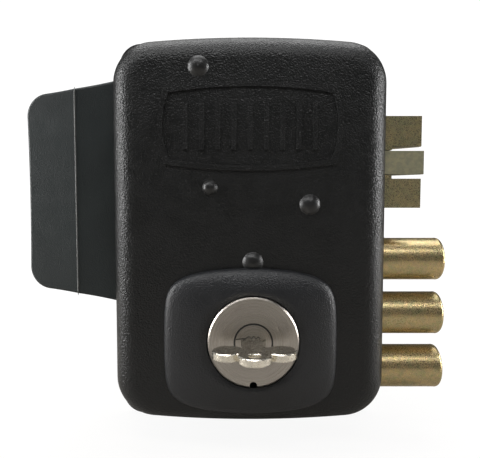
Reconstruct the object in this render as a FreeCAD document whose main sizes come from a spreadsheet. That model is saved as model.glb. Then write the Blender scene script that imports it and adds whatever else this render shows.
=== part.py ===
import FreeCAD
import Part
import Sketcher
import math
import os
import re

# Surface-mounted electric gate lock. X runs along the gate towards the bolts, Z is up, and the
# gate lies behind the plane Y = 0. Depth in front of that plane is called t, so y = -t.
# The origin is the centre of the back plate's rear face.

SIZES = {
    # Base plate
    "plate_width": 106.0,
    "plate_height": 155.0,
    "plate_thickness": 3.0,
    "plate_corner": 9.0,
    "fixing_span_x": 76.0,
    "fixing_span_z": 124.0,
    "fixing_centre_z": 1.0,
    "fixing_hole_radius": 2.75,
    "outside_bore_radius": 13.0,
    "cable_x": -36.0,
    "cable_z": -46.0,
    "cable_hole_radius": 4.5,
    "grommet_lip": 1.2,
    "grommet_wall": 1.3,
    # Front cover
    "cover_width": 100.0,
    "cover_height": 141.0,
    "cover_centre_z": 1.8,
    "cover_front": 38.0,
    "cover_wall": 2.5,
    "cover_corner": 15.0,
    "cover_bow": 3.0,
    "cover_edge_radius": 8.5,
    "cover_draft": 2.2,
    "panel_width": 64.0,
    "panel_height": 26.0,
    "panel_centre_z": 39.0,
    "panel_rise": 0.7,
    "panel_rim": 1.6,
    "panel_rib_width": 1.6,
    "panel_rib_pitch": 5.6,
    "panel_rib_count": 9.0,
    "window_gap": 0.4,
    "arm_slot_gap": 0.5,
    "panel_bow": 2.2,
    "panel_rib_inset": 5.0,
    "arm_slot_front": 27.0,
    # Cover posts and screws
    "post_radius": 4.0,
    "post_neck_radius": 1.9,
    "head_large": 3.6,
    "head_small": 2.7,
    "head_rise": 1.7,
    "post_a_x": -17.8,
    "post_a_z": 59.5,
    "post_b_x": -13.9,
    "post_b_z": 17.8,
    "post_c_x": 20.9,
    "post_c_z": 11.9,
    "post_d_x": 1.0,
    "post_d_z": -8.3,
    "screw_radius": 1.5,
    "screw_head_radius": 3.2,
    "screw_head_depth": 1.7,
    "screw_reach": 8.0,
    "screw_gap": 0.2,
    "post_shoulder": 0.8,
    "screw_slot": 0.8,
    "screw_slot_radius": 1.2,
    # Escutcheon
    "escutcheon_width": 61.0,
    "escutcheon_height": 51.7,
    "escutcheon_centre_z": -36.2,
    "escutcheon_bow": 2.4,
    "escutcheon_corner": 10.0,
    "escutcheon_front": 43.2,
    "escutcheon_edge": 3.6,
    "escutcheon_gap": 0.35,
    "escutcheon_shift": 1.0,
    # Lock cylinder
    "cylinder_x": 1.1,
    "cylinder_z": -35.3,
    "flange_radius": 15.7,
    "flange_front": 44.0,
    "flange_rear": 41.0,
    "barrel_radius": 11.0,
    "barrel_rear": 14.0,
    "plug_radius": 6.2,
    "plug_gap": 0.05,
    "plug_head_rise": 0.3,
    "plug_tail_radius": 3.5,
    "keyway_width": 8.4,
    "keyway_height": 2.4,
    "nut_radius": 13.2,
    "nut_rear": 31.0,
    "flange_lip": 0.5,
    "barrel_end_wall": 1.8,
    "drain_radius": 1.3,
    "nut_notch": 2.4,
    # Key
    "key_gap": 0.15,
    "key_tip": 20.0,
    "key_shoulder": 53.5,
    "key_end": 70.0,
    "key_width": 26.5,
    "key_thickness": 2.6,
    "key_lobe_radius": 5.0,
    "key_centre_radius": 6.2,
    "key_rim": 1.1,
    "key_sink": 0.45,
    "key_ring_radius": 1.3,
    "key_cut_radius": 1.7,
    "key_cut_pitch": 4.2,
    # Gears, studs and rack
    "gear_module": 1.0,
    "pinion_teeth": 12.0,
    "idler_teeth": 24.0,
    "idler_small_teeth": 14.0,
    "idler_angle": 200.0,
    "gear_rear": 7.3,
    "gear_front": 11.3,
    "gear_backlash": 0.16,
    "stud_radius": 3.0,
    "running_gap": 0.05,
    "rack_front": 7.0,
    "gear_float": 0.3,
    "stud_collar": 1.1,
    "slide_left": -24.6,
    "slide_top_z": -19.5,
    "slide_gap_lead": 1.0,
    "slide_gap_count": 10.0,
    "slide_stud_x": -20.0,
    "slide_stud_z": -24.5,
    "slide_stud_radius": 2.5,
    # Dead bolts, their bar and guide
    "bolt_radius": 8.0,
    "bolt_depth": 21.0,
    "bolt_pitch": 20.85,
    "bolt_top_z": -9.0,
    "bolt_tip_x": 73.0,
    "bolt_tip_chamfer": 2.2,
    "bolt_bar_x": 35.5,
    "bolt_bar_thickness": 3.0,
    "bolt_bar_front": 30.0,
    "guide_x": 40.3,
    "guide_thickness": 3.4,
    "guide_front": 29.2,
    "bolt_travel": 22.0,
    "bolt_tip_round": 0.9,
    "bolt_tip_dome": 0.5,
    "guide_bottom_z": -59.2,
    "guide_top_z": 49.0,
    "guide_screw_low_z": -19.4,
    "guide_screw_high_z": 4.7,
    # Springs
    "latch_spring_z": 39.0,
    "latch_spring_radius": 3.4,
    "thick_wire": 0.5,
    "thin_wire": 0.42,
    "spring_seat_x": 9.5,
    "spring_seat_thickness": 2.0,
    "spring_seat_front": 25.0,
    "spring_foot": 6.0,
    # Latch and its trigger
    "latch_front": 27.0,
    "latch_rear": 14.0,
    "latch_tip_x": 63.3,
    "latch_top_z": 44.3,
    "latch_bottom_z": 10.6,
    "latch_slot_top": 31.9,
    "latch_slot_bottom": 22.7,
    "latch_slot_wide_top": 33.2,
    "latch_slot_wide_bottom": 21.4,
    "latch_step_x": 52.5,
    "latch_web_x": 36.8,
    "latch_web_thickness": 3.2,
    "latch_web_overhang": 2.4,
    "latch_bevel": 9.0,
    "trigger_rear_x": 50.0,
    "trigger_tip_x": 64.3,
    "trigger_top_z": 31.6,
    "trigger_bottom_z": 23.0,
    "trigger_rod_radius": 2.0,
    "trigger_rod_end_x": 35.0,
    "tail_thickness": 3.0,
    "tail_bottom_z": 24.0,
    "tail_top_z": 34.0,
    "tail_lug": 1.0,
    "finger_play": 1.3,
    "tail_lug_front": 7.6,
    "tail_window_right": -17.0,
    "tail_slot_left": -10.2,
    "tail_slot_right": 7.0,
    "latch_nose": 3.0,
    "trigger_rod_depth": 20.5,
    "tail_side_gap": 1.4,
    "tail_slot_half": 2.8,
    # Pull handle and its hinge
    "pivot_x": -43.2,
    "pivot_depth": 24.0,
    "pin_radius": 1.8,
    "boss_radius": 3.1,
    "finger_length": 20.2,
    "finger_width": 2.2,
    "finger_angle": 35.0,
    "finger_bottom_z": 27.4,
    "finger_top_z": 30.6,
    "paddle_tip_x": -84.8,
    "paddle_crease_x": -65.0,
    "paddle_root_x": -50.3,
    "paddle_top_z": 58.2,
    "paddle_bottom_z": -25.2,
    "paddle_tip_top": 53.0,
    "paddle_tip_bottom": -20.0,
    "paddle_root_depth": 22.8,
    "paddle_crease_depth": 23.6,
    "paddle_tip_depth": 20.2,
    "paddle_wall": 3.0,
    "paddle_corner": 8.5,
    "arm_width": 6.0,
    "arm_upper_z": 47.0,
    "arm_lower_z": -11.0,
    "ear_thickness": 2.5,
    "ear_gap": 0.3,
    "paddle_bow": 0.8,
    "paddle_side_bow": 0.6,
    "paddle_edge": 1.0,
    "paddle_rib": 2.6,
    "paddle_rib_pitch": 24.0,
    "boss_tube_bottom_z": 8.0,
    "ear_left": -46.0,
    "ear_right": -40.5,
    "ear_foot": 7.0,
    "ear_foot_right": -34.0,
    # Electric release
    "catch_z": 29.0,
    "catch_x": -8.0,
    "catch_half": 1.4,
    "solenoid_left_x": -8.0,
    "solenoid_right_x": 25.2,
    "solenoid_z": 50.9,
    "solenoid_depth": 14.0,
    "solenoid_radius": 7.6,
    "solenoid_wall": 2.0,
    "plunger_radius": 2.8,
    "plunger_gap": 0.1,
    "plunger_travel": 4.0,
    "plunger_end_x": -25.0,
    "plunger_collar_x": -18.5,
    "plunger_collar": 1.2,
    "peg_x": -22.5,
    "peg_radius": 1.2,
    "peg_play": 0.3,
    "bobbin_flange": 1.2,
    "bobbin_wall": 0.8,
    "bobbin_clear": 0.3,
    "lever_rear": 8.0,
    "lever_front": 10.6,
    "lever_hub": 6.4,
    "lever_arm": 3.6,
    "terminal_x": -25.0,
    "terminal_z": -59.6,
    "terminal_width": 17.0,
    "terminal_height": 8.6,
    "terminal_front": 13.0,
    "terminal_rib": 1.4,
    "terminal_screw_radius": 1.7,
    "terminal_screw_depth": 3.0,
    "lead_radius": 0.6,
    "lead_offset": 3.2,
    "lead_reach": 2.0,
    "lead_bend": 3.0,
    "lead_lane_depth": 29.0,
    "lead_turn_z": 42.0,
}

doc = FreeCAD.newDocument("GateLock")
sheet = doc.addObject("Spreadsheet::Sheet", "Sizes")


def fill_sheet():
    """Write every driving dimension as plain text in its own cell and name the cell."""
    for row, (name, value) in enumerate(SIZES.items(), start=1):
        sheet.set(f"A{row}", name)
        sheet.set(f"B{row}", str(value))
        sheet.setAlias(f"B{row}", name)
    doc.recompute()


def bound(text):
    """Give an expression in which each size is read from the sheet."""
    return re.sub(r"\b[a-z][a-z_]*\b",
                  lambda m: f"Sizes.{m.group()}" if m.group() in SIZES else m.group(), str(text))


def number(text):
    """The present value of an expression of sizes."""
    value = sheet.evalExpression(bound(text))
    return float(getattr(value, "Value", value))


def new_body(label):
    """Start a body whose label is the name of its node."""
    body = doc.addObject("PartDesign::Body", label)
    body.Label = label
    return body


def origin_plane(body, role):
    """The body's own origin plane with this role."""
    return [f for f in body.Origin.OriginFeatures if f.Role == role][0]


def place_point(sketch, index, position, point):
    """Tie one point of a sketch to two expressions, measured from the sketch's origin."""
    for kind, text in zip(("DistanceX", "DistanceY"), point):
        value = number(text)
        made = sketch.addConstraint(Sketcher.Constraint(kind, -1, 1, index, position, value))
        sketch.setExpression(f"Constraints[{made}]", bound(text))


def attach(body, name, role, offset):
    """A new sketch on one origin plane, moved along the plane's normal by an expression."""
    sketch = body.newObject("Sketcher::SketchObject", name)
    sketch.AttachmentSupport = [(origin_plane(body, role), "")]
    sketch.MapMode = "FlatFace"
    sketch.setExpression("AttachmentOffset.Base.z", bound(offset))
    return sketch


def outline(sketch, points):
    """Add a closed outline. A point is (x, y), or (x, y, rise) where the edge that starts there
    is an arc that rises that far to the right of its chord."""
    for i, point in enumerate(points):
        start, end = point[:2], points[(i + 1) % len(points)][:2]
        a, b = (FreeCAD.Vector(number(p[0]), number(p[1]), 0) for p in (start, end))
        if len(point) == 2:
            edge = sketch.addGeometry(Part.LineSegment(a, b), False)
            forward = True
        else:
            rise = point[2]
            chord = b - a
            side = FreeCAD.Vector(chord.y, -chord.x, 0).normalize()
            middle = (a + b) * 0.5 + side * number(rise)
            edge = sketch.addGeometry(Part.Arc(a, middle, b), False)
            forward = (sketch.getPoint(edge, 1) - a).Length < (sketch.getPoint(edge, 2) - a).Length
            span = f"((({end[0]}) - ({start[0]}))^2 + (({end[1]}) - ({start[1]}))^2)"
            radius = f"({span} / 4 + ({rise})^2) / (2 * abs({rise}))"
            made = sketch.addConstraint(Sketcher.Constraint("Radius", edge, number(radius)))
            sketch.setExpression(f"Constraints[{made}]", bound(radius))
        place_point(sketch, edge, 1 if forward else 2, start)
        place_point(sketch, edge, 2 if forward else 1, end)


def circle(sketch, x, y, radius):
    """Add a circle whose centre and radius are expressions."""
    centre = FreeCAD.Vector(number(x), number(y), 0)
    edge = sketch.addGeometry(Part.Circle(centre, FreeCAD.Vector(0, 0, 1), number(radius)), False)
    place_point(sketch, edge, 3, (x, y))
    made = sketch.addConstraint(Sketcher.Constraint("Radius", edge, number(radius)))
    sketch.setExpression(f"Constraints[{made}]", bound(radius))


def extrude(body, kind, name, sketch, length, taper="0", reverse=False):
    """Pad or pocket a sketch. On the front plane a pad runs towards -Y."""
    feature = body.newObject(f"PartDesign::{kind}", name)
    feature.Profile = sketch
    feature.Reversed = reverse
    feature.setExpression("Length", bound(length))
    if taper != "0":
        feature.setExpression("TaperAngle", bound(taper))
    doc.recompute()
    return feature


def front_pad(body, name, points, rear, front, taper="0", circles=()):
    """Pad a front outline from one depth to another in front of the gate."""
    sketch = attach(body, name + "Outline", "XZ_Plane", rear)
    if points:
        outline(sketch, points)
    for ring in circles:
        circle(sketch, *ring)
    return extrude(body, "Pad", name, sketch, f"({front}) - ({rear})", taper)


def front_cut(body, name, points, rear, front, circles=()):
    """Cut a front outline out of the body between two depths."""
    sketch = attach(body, name + "Outline", "XZ_Plane", front)
    if points:
        outline(sketch, points)
    for ring in circles:
        circle(sketch, *ring)
    before = body.Tip.Shape.Volume
    cut = extrude(body, "Pocket", name, sketch, f"({front}) - ({rear})")
    assert cut.Shape.Volume < before, f"{name} cuts nothing"
    return cut


def plane_pad(body, role, name, points, start, end):
    """Pad an outline on the YZ or XY plane between two places along the plane's normal."""
    sketch = attach(body, name + "Outline", role, start)
    outline(sketch, points)
    return extrude(body, "Pad", name, sketch, f"({end}) - ({start})")


def plane_cut(body, role, name, points, start, end, circles=()):
    """Cut an outline on the YZ or XY plane between two places along the plane's normal."""
    sketch = attach(body, name + "Outline", role, start)
    if points:
        outline(sketch, points)
    for ring in circles:
        circle(sketch, *ring)
    before = body.Tip.Shape.Volume
    cut = extrude(body, "Pocket", name, sketch, f"({end}) - ({start})", reverse=True)
    assert cut.Shape.Volume < before, f"{name} cuts nothing"
    return cut


def rectangle(left, right, low, high):
    """The corners of a rectangle of four expressions."""
    return [(left, low), (right, low), (right, high), (left, high)]


def edges_where(feature, test):
    """Names of the edges of a feature for which a test holds."""
    return [f"Edge{i}" for i, edge in enumerate(feature.Shape.Edges, start=1) if test(edge)]


def along(edge, axis):
    """Whether an edge is straight and runs along one axis."""
    if not isinstance(edge.Curve, Part.Line):
        return False
    return abs(abs(edge.Curve.Direction.dot(axis)) - 1) < 1e-3


def at_depth(edge, depth):
    """Whether an edge lies wholly at one depth in front of the gate."""
    return abs(edge.BoundBox.YMin + depth) < 1e-4 and abs(edge.BoundBox.YMax + depth) < 1e-4


def dress_edges(body, kind, name, edges, size):
    """Fillet or chamfer named edges of the body's last feature."""
    base = body.Tip
    feature = body.newObject(f"PartDesign::{kind}", name)
    feature.Base = (base, edges)
    feature.setExpression("Radius" if kind == "Fillet" else "Size", bound(size))
    doc.recompute()
    return feature


def block(name, across, depth, upright):
    """A box primitive between pairs of expressions: X, depth in front of the gate, and Z."""
    box = doc.addObject("Part::Box", name)
    box.setExpression("Length", bound(f"({across[1]}) - ({across[0]})"))
    box.setExpression("Width", bound(f"({depth[1]}) - ({depth[0]})"))
    box.setExpression("Height", bound(f"({upright[1]}) - ({upright[0]})"))
    box.setExpression(".Placement.Base.x", bound(across[0]))
    box.setExpression(".Placement.Base.y", bound(f"-({depth[1]})"))
    box.setExpression(".Placement.Base.z", bound(upright[0]))
    return box


TURNS = {
    "x": FreeCAD.Rotation(FreeCAD.Vector(0, 1, 0), 90),
    "y": FreeCAD.Rotation(FreeCAD.Vector(1, 0, 0), 90),
    "z": FreeCAD.Rotation(),
}


def rod(name, axis, radius, span, first, second):
    """A cylinder primitive along one axis. The span runs along X, along depth or along Z, and
    first and second are the two other places in the order X, depth, Z."""
    cylinder = doc.addObject("Part::Cylinder", name)
    cylinder.Placement = FreeCAD.Placement(FreeCAD.Vector(), TURNS[axis])
    cylinder.setExpression("Radius", bound(radius))
    cylinder.setExpression("Height", bound(f"({span[1]}) - ({span[0]})"))
    places = {"x": (span[0], f"-({first})", second), "y": (first, f"-({span[0]})", second),
              "z": (first, f"-({second})", span[0])}[axis]
    for letter, text in zip("xyz", places):
        cylinder.setExpression(f".Placement.Base.{letter}", bound(text))
    return cylinder


def fused(label, pieces):
    """One object from several that meet."""
    made = doc.addObject("Part::MultiFuse", label)
    made.Label = label
    made.Shapes = pieces
    made.Refine = True
    doc.recompute()
    return made


def cut_from(label, base, tools):
    """One object less others."""
    tool = tools[0] if len(tools) == 1 else fused(label + "Tools", tools)
    made = doc.addObject("Part::Cut", label)
    made.Label = label
    made.Base = base
    made.Tool = tool
    made.Refine = True
    doc.recompute()
    return made


def grouped(label, pieces):
    """Several separate solids kept in one node."""
    made = doc.addObject("Part::Compound", label)
    made.Label = label
    made.Links = pieces
    doc.recompute()
    return made


def turned(label, profile, x, z):
    """A piece turned about an axis along Y through (x, z). The profile is (radius, depth)."""
    body = new_body(label)
    sketch = attach(body, label + "Profile", "XY_Plane", z)
    outline(sketch, [(f"({x}) + ({p[0]})", f"-({p[1]})", *p[2:]) for p in profile])
    axis = sketch.addGeometry(Part.LineSegment(FreeCAD.Vector(number(x), 0, 0),
                                               FreeCAD.Vector(number(x), 1, 0)), True)
    place_point(sketch, axis, 1, (x, "0"))
    place_point(sketch, axis, 2, (x, "1"))
    turn = body.newObject("PartDesign::Revolution", label + "Turn")
    turn.Profile = sketch
    turn.ReferenceAxis = (sketch, ["Axis0"])
    turn.Angle = 360.0
    doc.recompute()
    return body


POSTS = ("a", "b", "c", "d")


def base_plate():
    """The steel plate that is screwed to the gate."""
    body = new_body("base_plate")
    half_x, half_z = "plate_width / 2", "plate_height / 2"
    plate = front_pad(body, "Plate", rectangle(f"-{half_x}", half_x, f"-{half_z}", half_z), "0",
                      "plate_thickness")
    upright = edges_where(plate, lambda e: along(e, FreeCAD.Vector(0, 1, 0)))
    dress_edges(body, "Fillet", "PlateCorners", upright, "plate_corner")
    fixing = [(f"{sx} * fixing_span_x / 2", f"fixing_centre_z + {sz} * fixing_span_z / 2",
               "fixing_hole_radius") for sx in (-1, 1) for sz in (-1, 1)]
    front_cut(body, "FixingHoles", [], "0", "plate_thickness", fixing)
    front_cut(body, "OutsideCylinderHole", [], "0", "plate_thickness",
              [("cylinder_x", "cylinder_z", "outside_bore_radius"),
               ("cable_x", "cable_z", "cable_hole_radius")])
    screws = [(f"post_{p}_x", f"post_{p}_z") for p in POSTS]
    screws += [("guide_x + guide_thickness / 2", z) for z in ("guide_screw_low_z", "guide_screw_high_z")]
    bores = [(x, z, "screw_radius + screw_gap") for x, z in screws]
    front_cut(body, "PostHoles", [], "0", "plate_thickness", bores)
    sinks = [(x, z, "screw_head_radius + screw_gap") for x, z in screws]
    front_cut(body, "PostScrewSinks", [], "0", "screw_head_depth", sinks)
    return body


def cover_outline(half_width, half_height, bow, centre):
    """Straight sides, with top and bottom edges that bow outwards."""
    return [(f"-({half_width})", f"({centre}) - ({half_height})", bow),
            (half_width, f"({centre}) - ({half_height})"),
            (half_width, f"({centre}) + ({half_height})", bow),
            (f"-({half_width})", f"({centre}) + ({half_height})")]


def drafted_solid(body, name, shrink, front, edge):
    """The cover's outer form, or with a shrink of one wall its hollow."""
    half_x = f"cover_width / 2 - {shrink}"
    half_z = f"cover_height / 2 - cover_bow - {shrink}"
    pad = front_pad(body, name, cover_outline(half_x, half_z, "cover_bow", "cover_centre_z"),
                    "plate_thickness", front, "-cover_draft")
    upright = edges_where(pad, lambda e: e.BoundBox.YLength > number("cover_front") / 2)
    dress_edges(body, "Fillet", name + "Corners", upright, f"cover_corner - {shrink}")
    rim = edges_where(body.Tip, lambda e: at_depth(e, number(front)))
    dress_edges(body, "Fillet", name + "FrontEdge", rim, edge)
    return body


def front_cover():
    """The drawn steel cover with its raised frame and ribs, windows and post holes."""
    outer = drafted_solid(new_body("cover_outer"), "Outer", "0", "cover_front", "cover_edge_radius")
    hollow = drafted_solid(new_body("cover_hollow"), "Hollow", "cover_wall", "cover_front - cover_wall",
                           "cover_edge_radius - cover_wall")
    low, high = "panel_centre_z - panel_height / 2", "panel_centre_z + panel_height / 2"
    panel = new_body("cover_panel")
    half, bow = "panel_width / 2", "panel_bow"
    front_pad(panel, "Frame", [(f"-{half} + {bow}", low, bow), (f"{half} - {bow}", low, bow),
                               (f"{half} - {bow}", high, bow), (f"-{half} + {bow}", high, bow)],
              "cover_front", "cover_front + panel_rise")
    half, inset = "(panel_width / 2 - panel_rim)", "panel_rim"
    front_cut(panel, "FrameInside",
              [(f"-{half} + {bow}", f"{low} + {inset}", bow), (f"{half} - {bow}", f"{low} + {inset}", bow),
               (f"{half} - {bow}", f"{high} - {inset}", bow), (f"-{half} + {bow}", f"{high} - {inset}", bow)],
              "cover_front", "cover_front + panel_rise")
    ribs = []
    count = int(number("panel_rib_count"))
    for i in range(count):
        middle = f"(({i} - (panel_rib_count - 1) / 2) * panel_rib_pitch)"
        ribs.append(block(f"cover_rib_{i}", (f"{middle} - panel_rib_width / 2",
                                             f"{middle} + panel_rib_width / 2"),
                          ("cover_front - panel_rise", "cover_front + panel_rise"),
                          (f"{low} + panel_rib_inset", f"{high} - panel_rib_inset")))
    skin = fused("cover_skin", [outer, panel] + ribs)
    gap = "window_gap"
    wall = ("cover_width / 2 - cover_wall * 2.4", "cover_width / 2 + cover_wall")
    tools = [hollow, rod("cover_cylinder_hole", "y", "barrel_radius + window_gap",
                         ("cover_front - cover_wall * 2", "cover_front + panel_rise"), "cylinder_x",
                         "cylinder_z")]
    for i in range(3):
        tools.append(rod(f"cover_bolt_window_{i}", "x", f"bolt_radius + {gap}", wall, "bolt_depth",
                         f"bolt_top_z - {i} * bolt_pitch"))
    tools.append(block("cover_latch_window", wall, (f"latch_rear - {gap}", f"latch_front + {gap}"),
                       (f"latch_bottom_z - {gap}", f"latch_top_z + {gap}")))
    left = ("-cover_width / 2 - cover_wall", "-cover_width / 2 + cover_wall * 2.4")
    for arm in ("arm_upper_z", "arm_lower_z"):
        tools.append(block(f"cover_{arm}_slot", left, ("paddle_root_depth - paddle_wall - arm_slot_gap",
                                                       "arm_slot_front"),
                           (f"{arm} - arm_width / 2 - arm_slot_gap",
                            f"{arm} + arm_width / 2 + arm_slot_gap")))
    for post in POSTS:
        tools.append(rod(f"cover_post_hole_{post}", "y", "post_neck_radius",
                         ("cover_front - cover_wall * 2", "cover_front + panel_rise"), f"post_{post}_x",
                         f"post_{post}_z"))
    return cut_from("front_cover", skin, tools)


def cap_rise(radius, height):
    """How far the arc of a round cap rises over the chord from its edge to its top."""
    span = f"(({radius})^2 + ({height})^2)"
    sphere = f"({span} / (2 * {height}))"
    return f"({sphere} - sqrt({sphere}^2 - {span} / 4))"


def cover_posts():
    """Four turned posts, each spun over into a round head on the front of the cover."""
    posts = []
    for post in POSTS:
        head = "head_small" if post == "b" else "head_large"
        turn = turned(f"post_{post}", [("0", "plate_thickness"), ("post_radius", "plate_thickness"),
                                       ("post_radius", "cover_front - cover_wall - post_shoulder"),
                                       ("post_radius - post_shoulder", "cover_front - cover_wall"),
                                       ("post_neck_radius", "cover_front - cover_wall"),
                                       ("post_neck_radius", "cover_front"),
                                       (head, "cover_front", f"-{cap_rise(head, 'head_rise')}"),
                                       ("0", "cover_front + head_rise")],
                      f"post_{post}_x", f"post_{post}_z")
        hole = rod(f"post_{post}_thread", "y", "screw_radius + running_gap",
                   ("0", "plate_thickness + screw_reach + window_gap"), f"post_{post}_x", f"post_{post}_z")
        posts.append(cut_from(f"post_{post}_drilled", turn, [hole]))
    return grouped("cover_posts", posts)


def post_screws():
    """Countersunk screws from the rear of the plate into the posts."""
    screws = []
    for post in POSTS:
        screws.append(turned(f"post_screw_{post}", [("0", "screw_slot"), ("screw_slot_radius", "screw_slot"),
                                                    ("screw_slot_radius", "0"), ("screw_head_radius", "0"),
                                                    ("screw_head_radius", "screw_head_depth"),
                                                    ("screw_radius", "screw_head_depth"),
                                                    ("screw_radius", "plate_thickness + screw_reach"),
                                                    ("0", "plate_thickness + screw_reach")],
                             f"post_{post}_x", f"post_{post}_z"))
    return grouped("post_screws", screws)


def escutcheon():
    """The separate pillow-shaped rose round the cylinder."""
    body = new_body("escutcheon")
    bow, middle = "escutcheon_bow", "escutcheon_centre_z"
    half_x, half_z = f"(escutcheon_width / 2 - {bow})", f"(escutcheon_height / 2 - {bow})"
    offset = "cylinder_x - escutcheon_shift"
    corners = [(f"{offset} - {half_x}", f"{middle} - {half_z}", bow),
               (f"{offset} + {half_x}", f"{middle} - {half_z}", bow),
               (f"{offset} + {half_x}", f"{middle} + {half_z}", bow),
               (f"{offset} - {half_x}", f"{middle} + {half_z}", bow)]
    pad = front_pad(body, "Rose", corners, "cover_front", "escutcheon_front")
    upright = edges_where(pad, lambda e: along(e, FreeCAD.Vector(0, 1, 0)))
    dress_edges(body, "Fillet", "RoseCorners", upright, "escutcheon_corner")
    rim = edges_where(body.Tip, lambda e: at_depth(e, number("escutcheon_front")))
    dress_edges(body, "Fillet", "RoseEdge", rim, "escutcheon_edge")
    front_cut(body, "BarrelHole", [], "cover_front", "flange_rear",
              [("cylinder_x", "cylinder_z", "barrel_radius + window_gap")])
    front_cut(body, "FlangeSeat", [], "flange_rear", "escutcheon_front",
              [("cylinder_x", "cylinder_z", "flange_radius + escutcheon_gap")])
    front_cut(body, "PostHeadRelief", [], "cover_front", "cover_front + head_rise + window_gap",
              [("post_d_x", "post_d_z", "head_large + window_gap")])
    return body


def cylinder_body():
    """The fixed housing of the lock cylinder with its flange."""
    turn = turned("cylinder_turning", [("plug_tail_radius + plug_gap", "barrel_rear"),
                                       ("barrel_radius", "barrel_rear"), ("barrel_radius", "flange_rear"),
                                       ("flange_radius", "flange_rear"),
                                       ("flange_radius", "flange_front - flange_lip"),
                                       ("flange_radius - flange_lip", "flange_front"),
                                       ("plug_radius + plug_gap", "flange_front"),
                                       ("plug_radius + plug_gap", "barrel_rear + barrel_end_wall"),
                                       ("plug_tail_radius + plug_gap", "barrel_rear + barrel_end_wall")],
                  "cylinder_x", "cylinder_z")
    drain = rod("cylinder_drain", "y", "drain_radius", ("flange_rear - 1", "flange_front + 1"),
                "cylinder_x", "cylinder_z - flange_radius + drain_radius * 0.6")
    return cut_from("cylinder_body", turn, [drain])


def cylinder_plug():
    """The plug that the key turns, with its tail for the drive pinion."""
    turn = turned("plug_turning", [("0", "gear_rear"), ("plug_tail_radius", "gear_rear"),
                                   ("plug_tail_radius", "barrel_rear + barrel_end_wall + plug_gap"),
                                   ("plug_radius", "barrel_rear + barrel_end_wall + plug_gap"),
                                   ("plug_radius", "flange_front + plug_head_rise"),
                                   ("0", "flange_front + plug_head_rise")], "cylinder_x", "cylinder_z")
    slot = block("plug_keyway", ("cylinder_x - keyway_width / 2", "cylinder_x + keyway_width / 2"),
                 ("key_tip - window_gap", "flange_front + 1"),
                 ("cylinder_z - keyway_height / 2", "cylinder_z + keyway_height / 2"))
    return cut_from("cylinder_plug", turn, [slot])


def cylinder_nut():
    """The ring nut behind the cover that clamps the cylinder and its rose."""
    ring = rod("nut_ring", "y", "nut_radius", ("nut_rear", "cover_front - cover_wall"), "cylinder_x",
               "cylinder_z")
    tools = [rod("nut_bore", "y", "barrel_radius + running_gap", ("nut_rear - 1", "cover_front"),
                 "cylinder_x", "cylinder_z")]
    half = "nut_notch / 2"
    tools.append(block("nut_notch_across", ("cylinder_x - nut_radius - 1", "cylinder_x + nut_radius + 1"),
                       ("nut_rear - 1", "nut_rear + nut_notch"),
                       (f"cylinder_z - {half}", f"cylinder_z + {half}")))
    tools.append(block("nut_notch_upright", (f"cylinder_x - {half}", f"cylinder_x + {half}"),
                       ("nut_rear - 1", "nut_rear + nut_notch"),
                       ("cylinder_z - nut_radius - 1", "cylinder_z + nut_radius + 1")))
    return cut_from("cylinder_nut", ring, tools)


def key():
    """The key: a cut blade, a shoulder band and a bow of three round lobes with raised rims."""
    low, high = "cylinder_z - key_thickness / 2", "cylinder_z + key_thickness / 2"
    half = "(keyway_width / 2 - key_gap)"
    blade = block("key_blade", (f"cylinder_x - {half}", f"cylinder_x + {half}"),
                  ("key_tip", "key_shoulder + key_lobe_radius"),
                  ("cylinder_z - keyway_height / 2 + key_gap",
                   "cylinder_z + keyway_height / 2 - key_gap"))
    side = "key_width / 2 - key_lobe_radius"
    lobes = [("cylinder_x", "key_end - key_centre_radius", "key_centre_radius"),
             (f"cylinder_x - ({side})", "key_shoulder + key_lobe_radius", "key_lobe_radius"),
             (f"cylinder_x + ({side})", "key_shoulder + key_lobe_radius", "key_lobe_radius")]
    pieces = [blade, block("key_web", (f"cylinder_x - ({side})", f"cylinder_x + ({side})"),
                           ("key_shoulder", "key_shoulder + key_lobe_radius * 2"), (low, high))]
    tools = []
    for i, (x, depth, radius) in enumerate(lobes):
        pieces.append(rod(f"key_lobe_{i}", "z", radius, (low, high), x, depth))
        sink = f"{radius} - key_rim"
        tools.append(rod(f"key_sink_top_{i}", "z", sink, (f"{high} - key_sink", f"{high} + 1"), x, depth))
        tools.append(rod(f"key_sink_under_{i}", "z", sink, (f"{low} - 1", f"{low} + key_sink"), x, depth))
    tools.append(rod("key_ring_hole", "z", "key_ring_radius", (f"{low} - 1", f"{high} + 1"), "cylinder_x",
                     "key_end - key_rim * 1.6 - key_ring_radius"))
    for i in range(5):
        tools.append(rod(f"key_cut_{i}", "z", "key_cut_radius", (f"{low} - 1", f"{high} + 1"),
                         f"cylinder_x + {half} + key_cut_radius * {(0.25, 0.55, 0.05, 0.4, 0.2)[i]}",
                         f"key_tip + key_cut_pitch * {i + 1}"))
    return cut_from("key", fused("key_blank", pieces), tools)


IDLER_X = "(cylinder_x + gear_module * (pinion_teeth + idler_teeth) / 2 * cos(idler_angle))"
IDLER_Z = "(cylinder_z + gear_module * (pinion_teeth + idler_teeth) / 2 * sin(idler_angle))"
TAIL_LEFT = "(pivot_x + finger_length * sin(finger_angle) - finger_width / 2 - finger_play)"
PITCH_Z = f"({IDLER_Z} + gear_module * idler_small_teeth / 2)"


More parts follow.
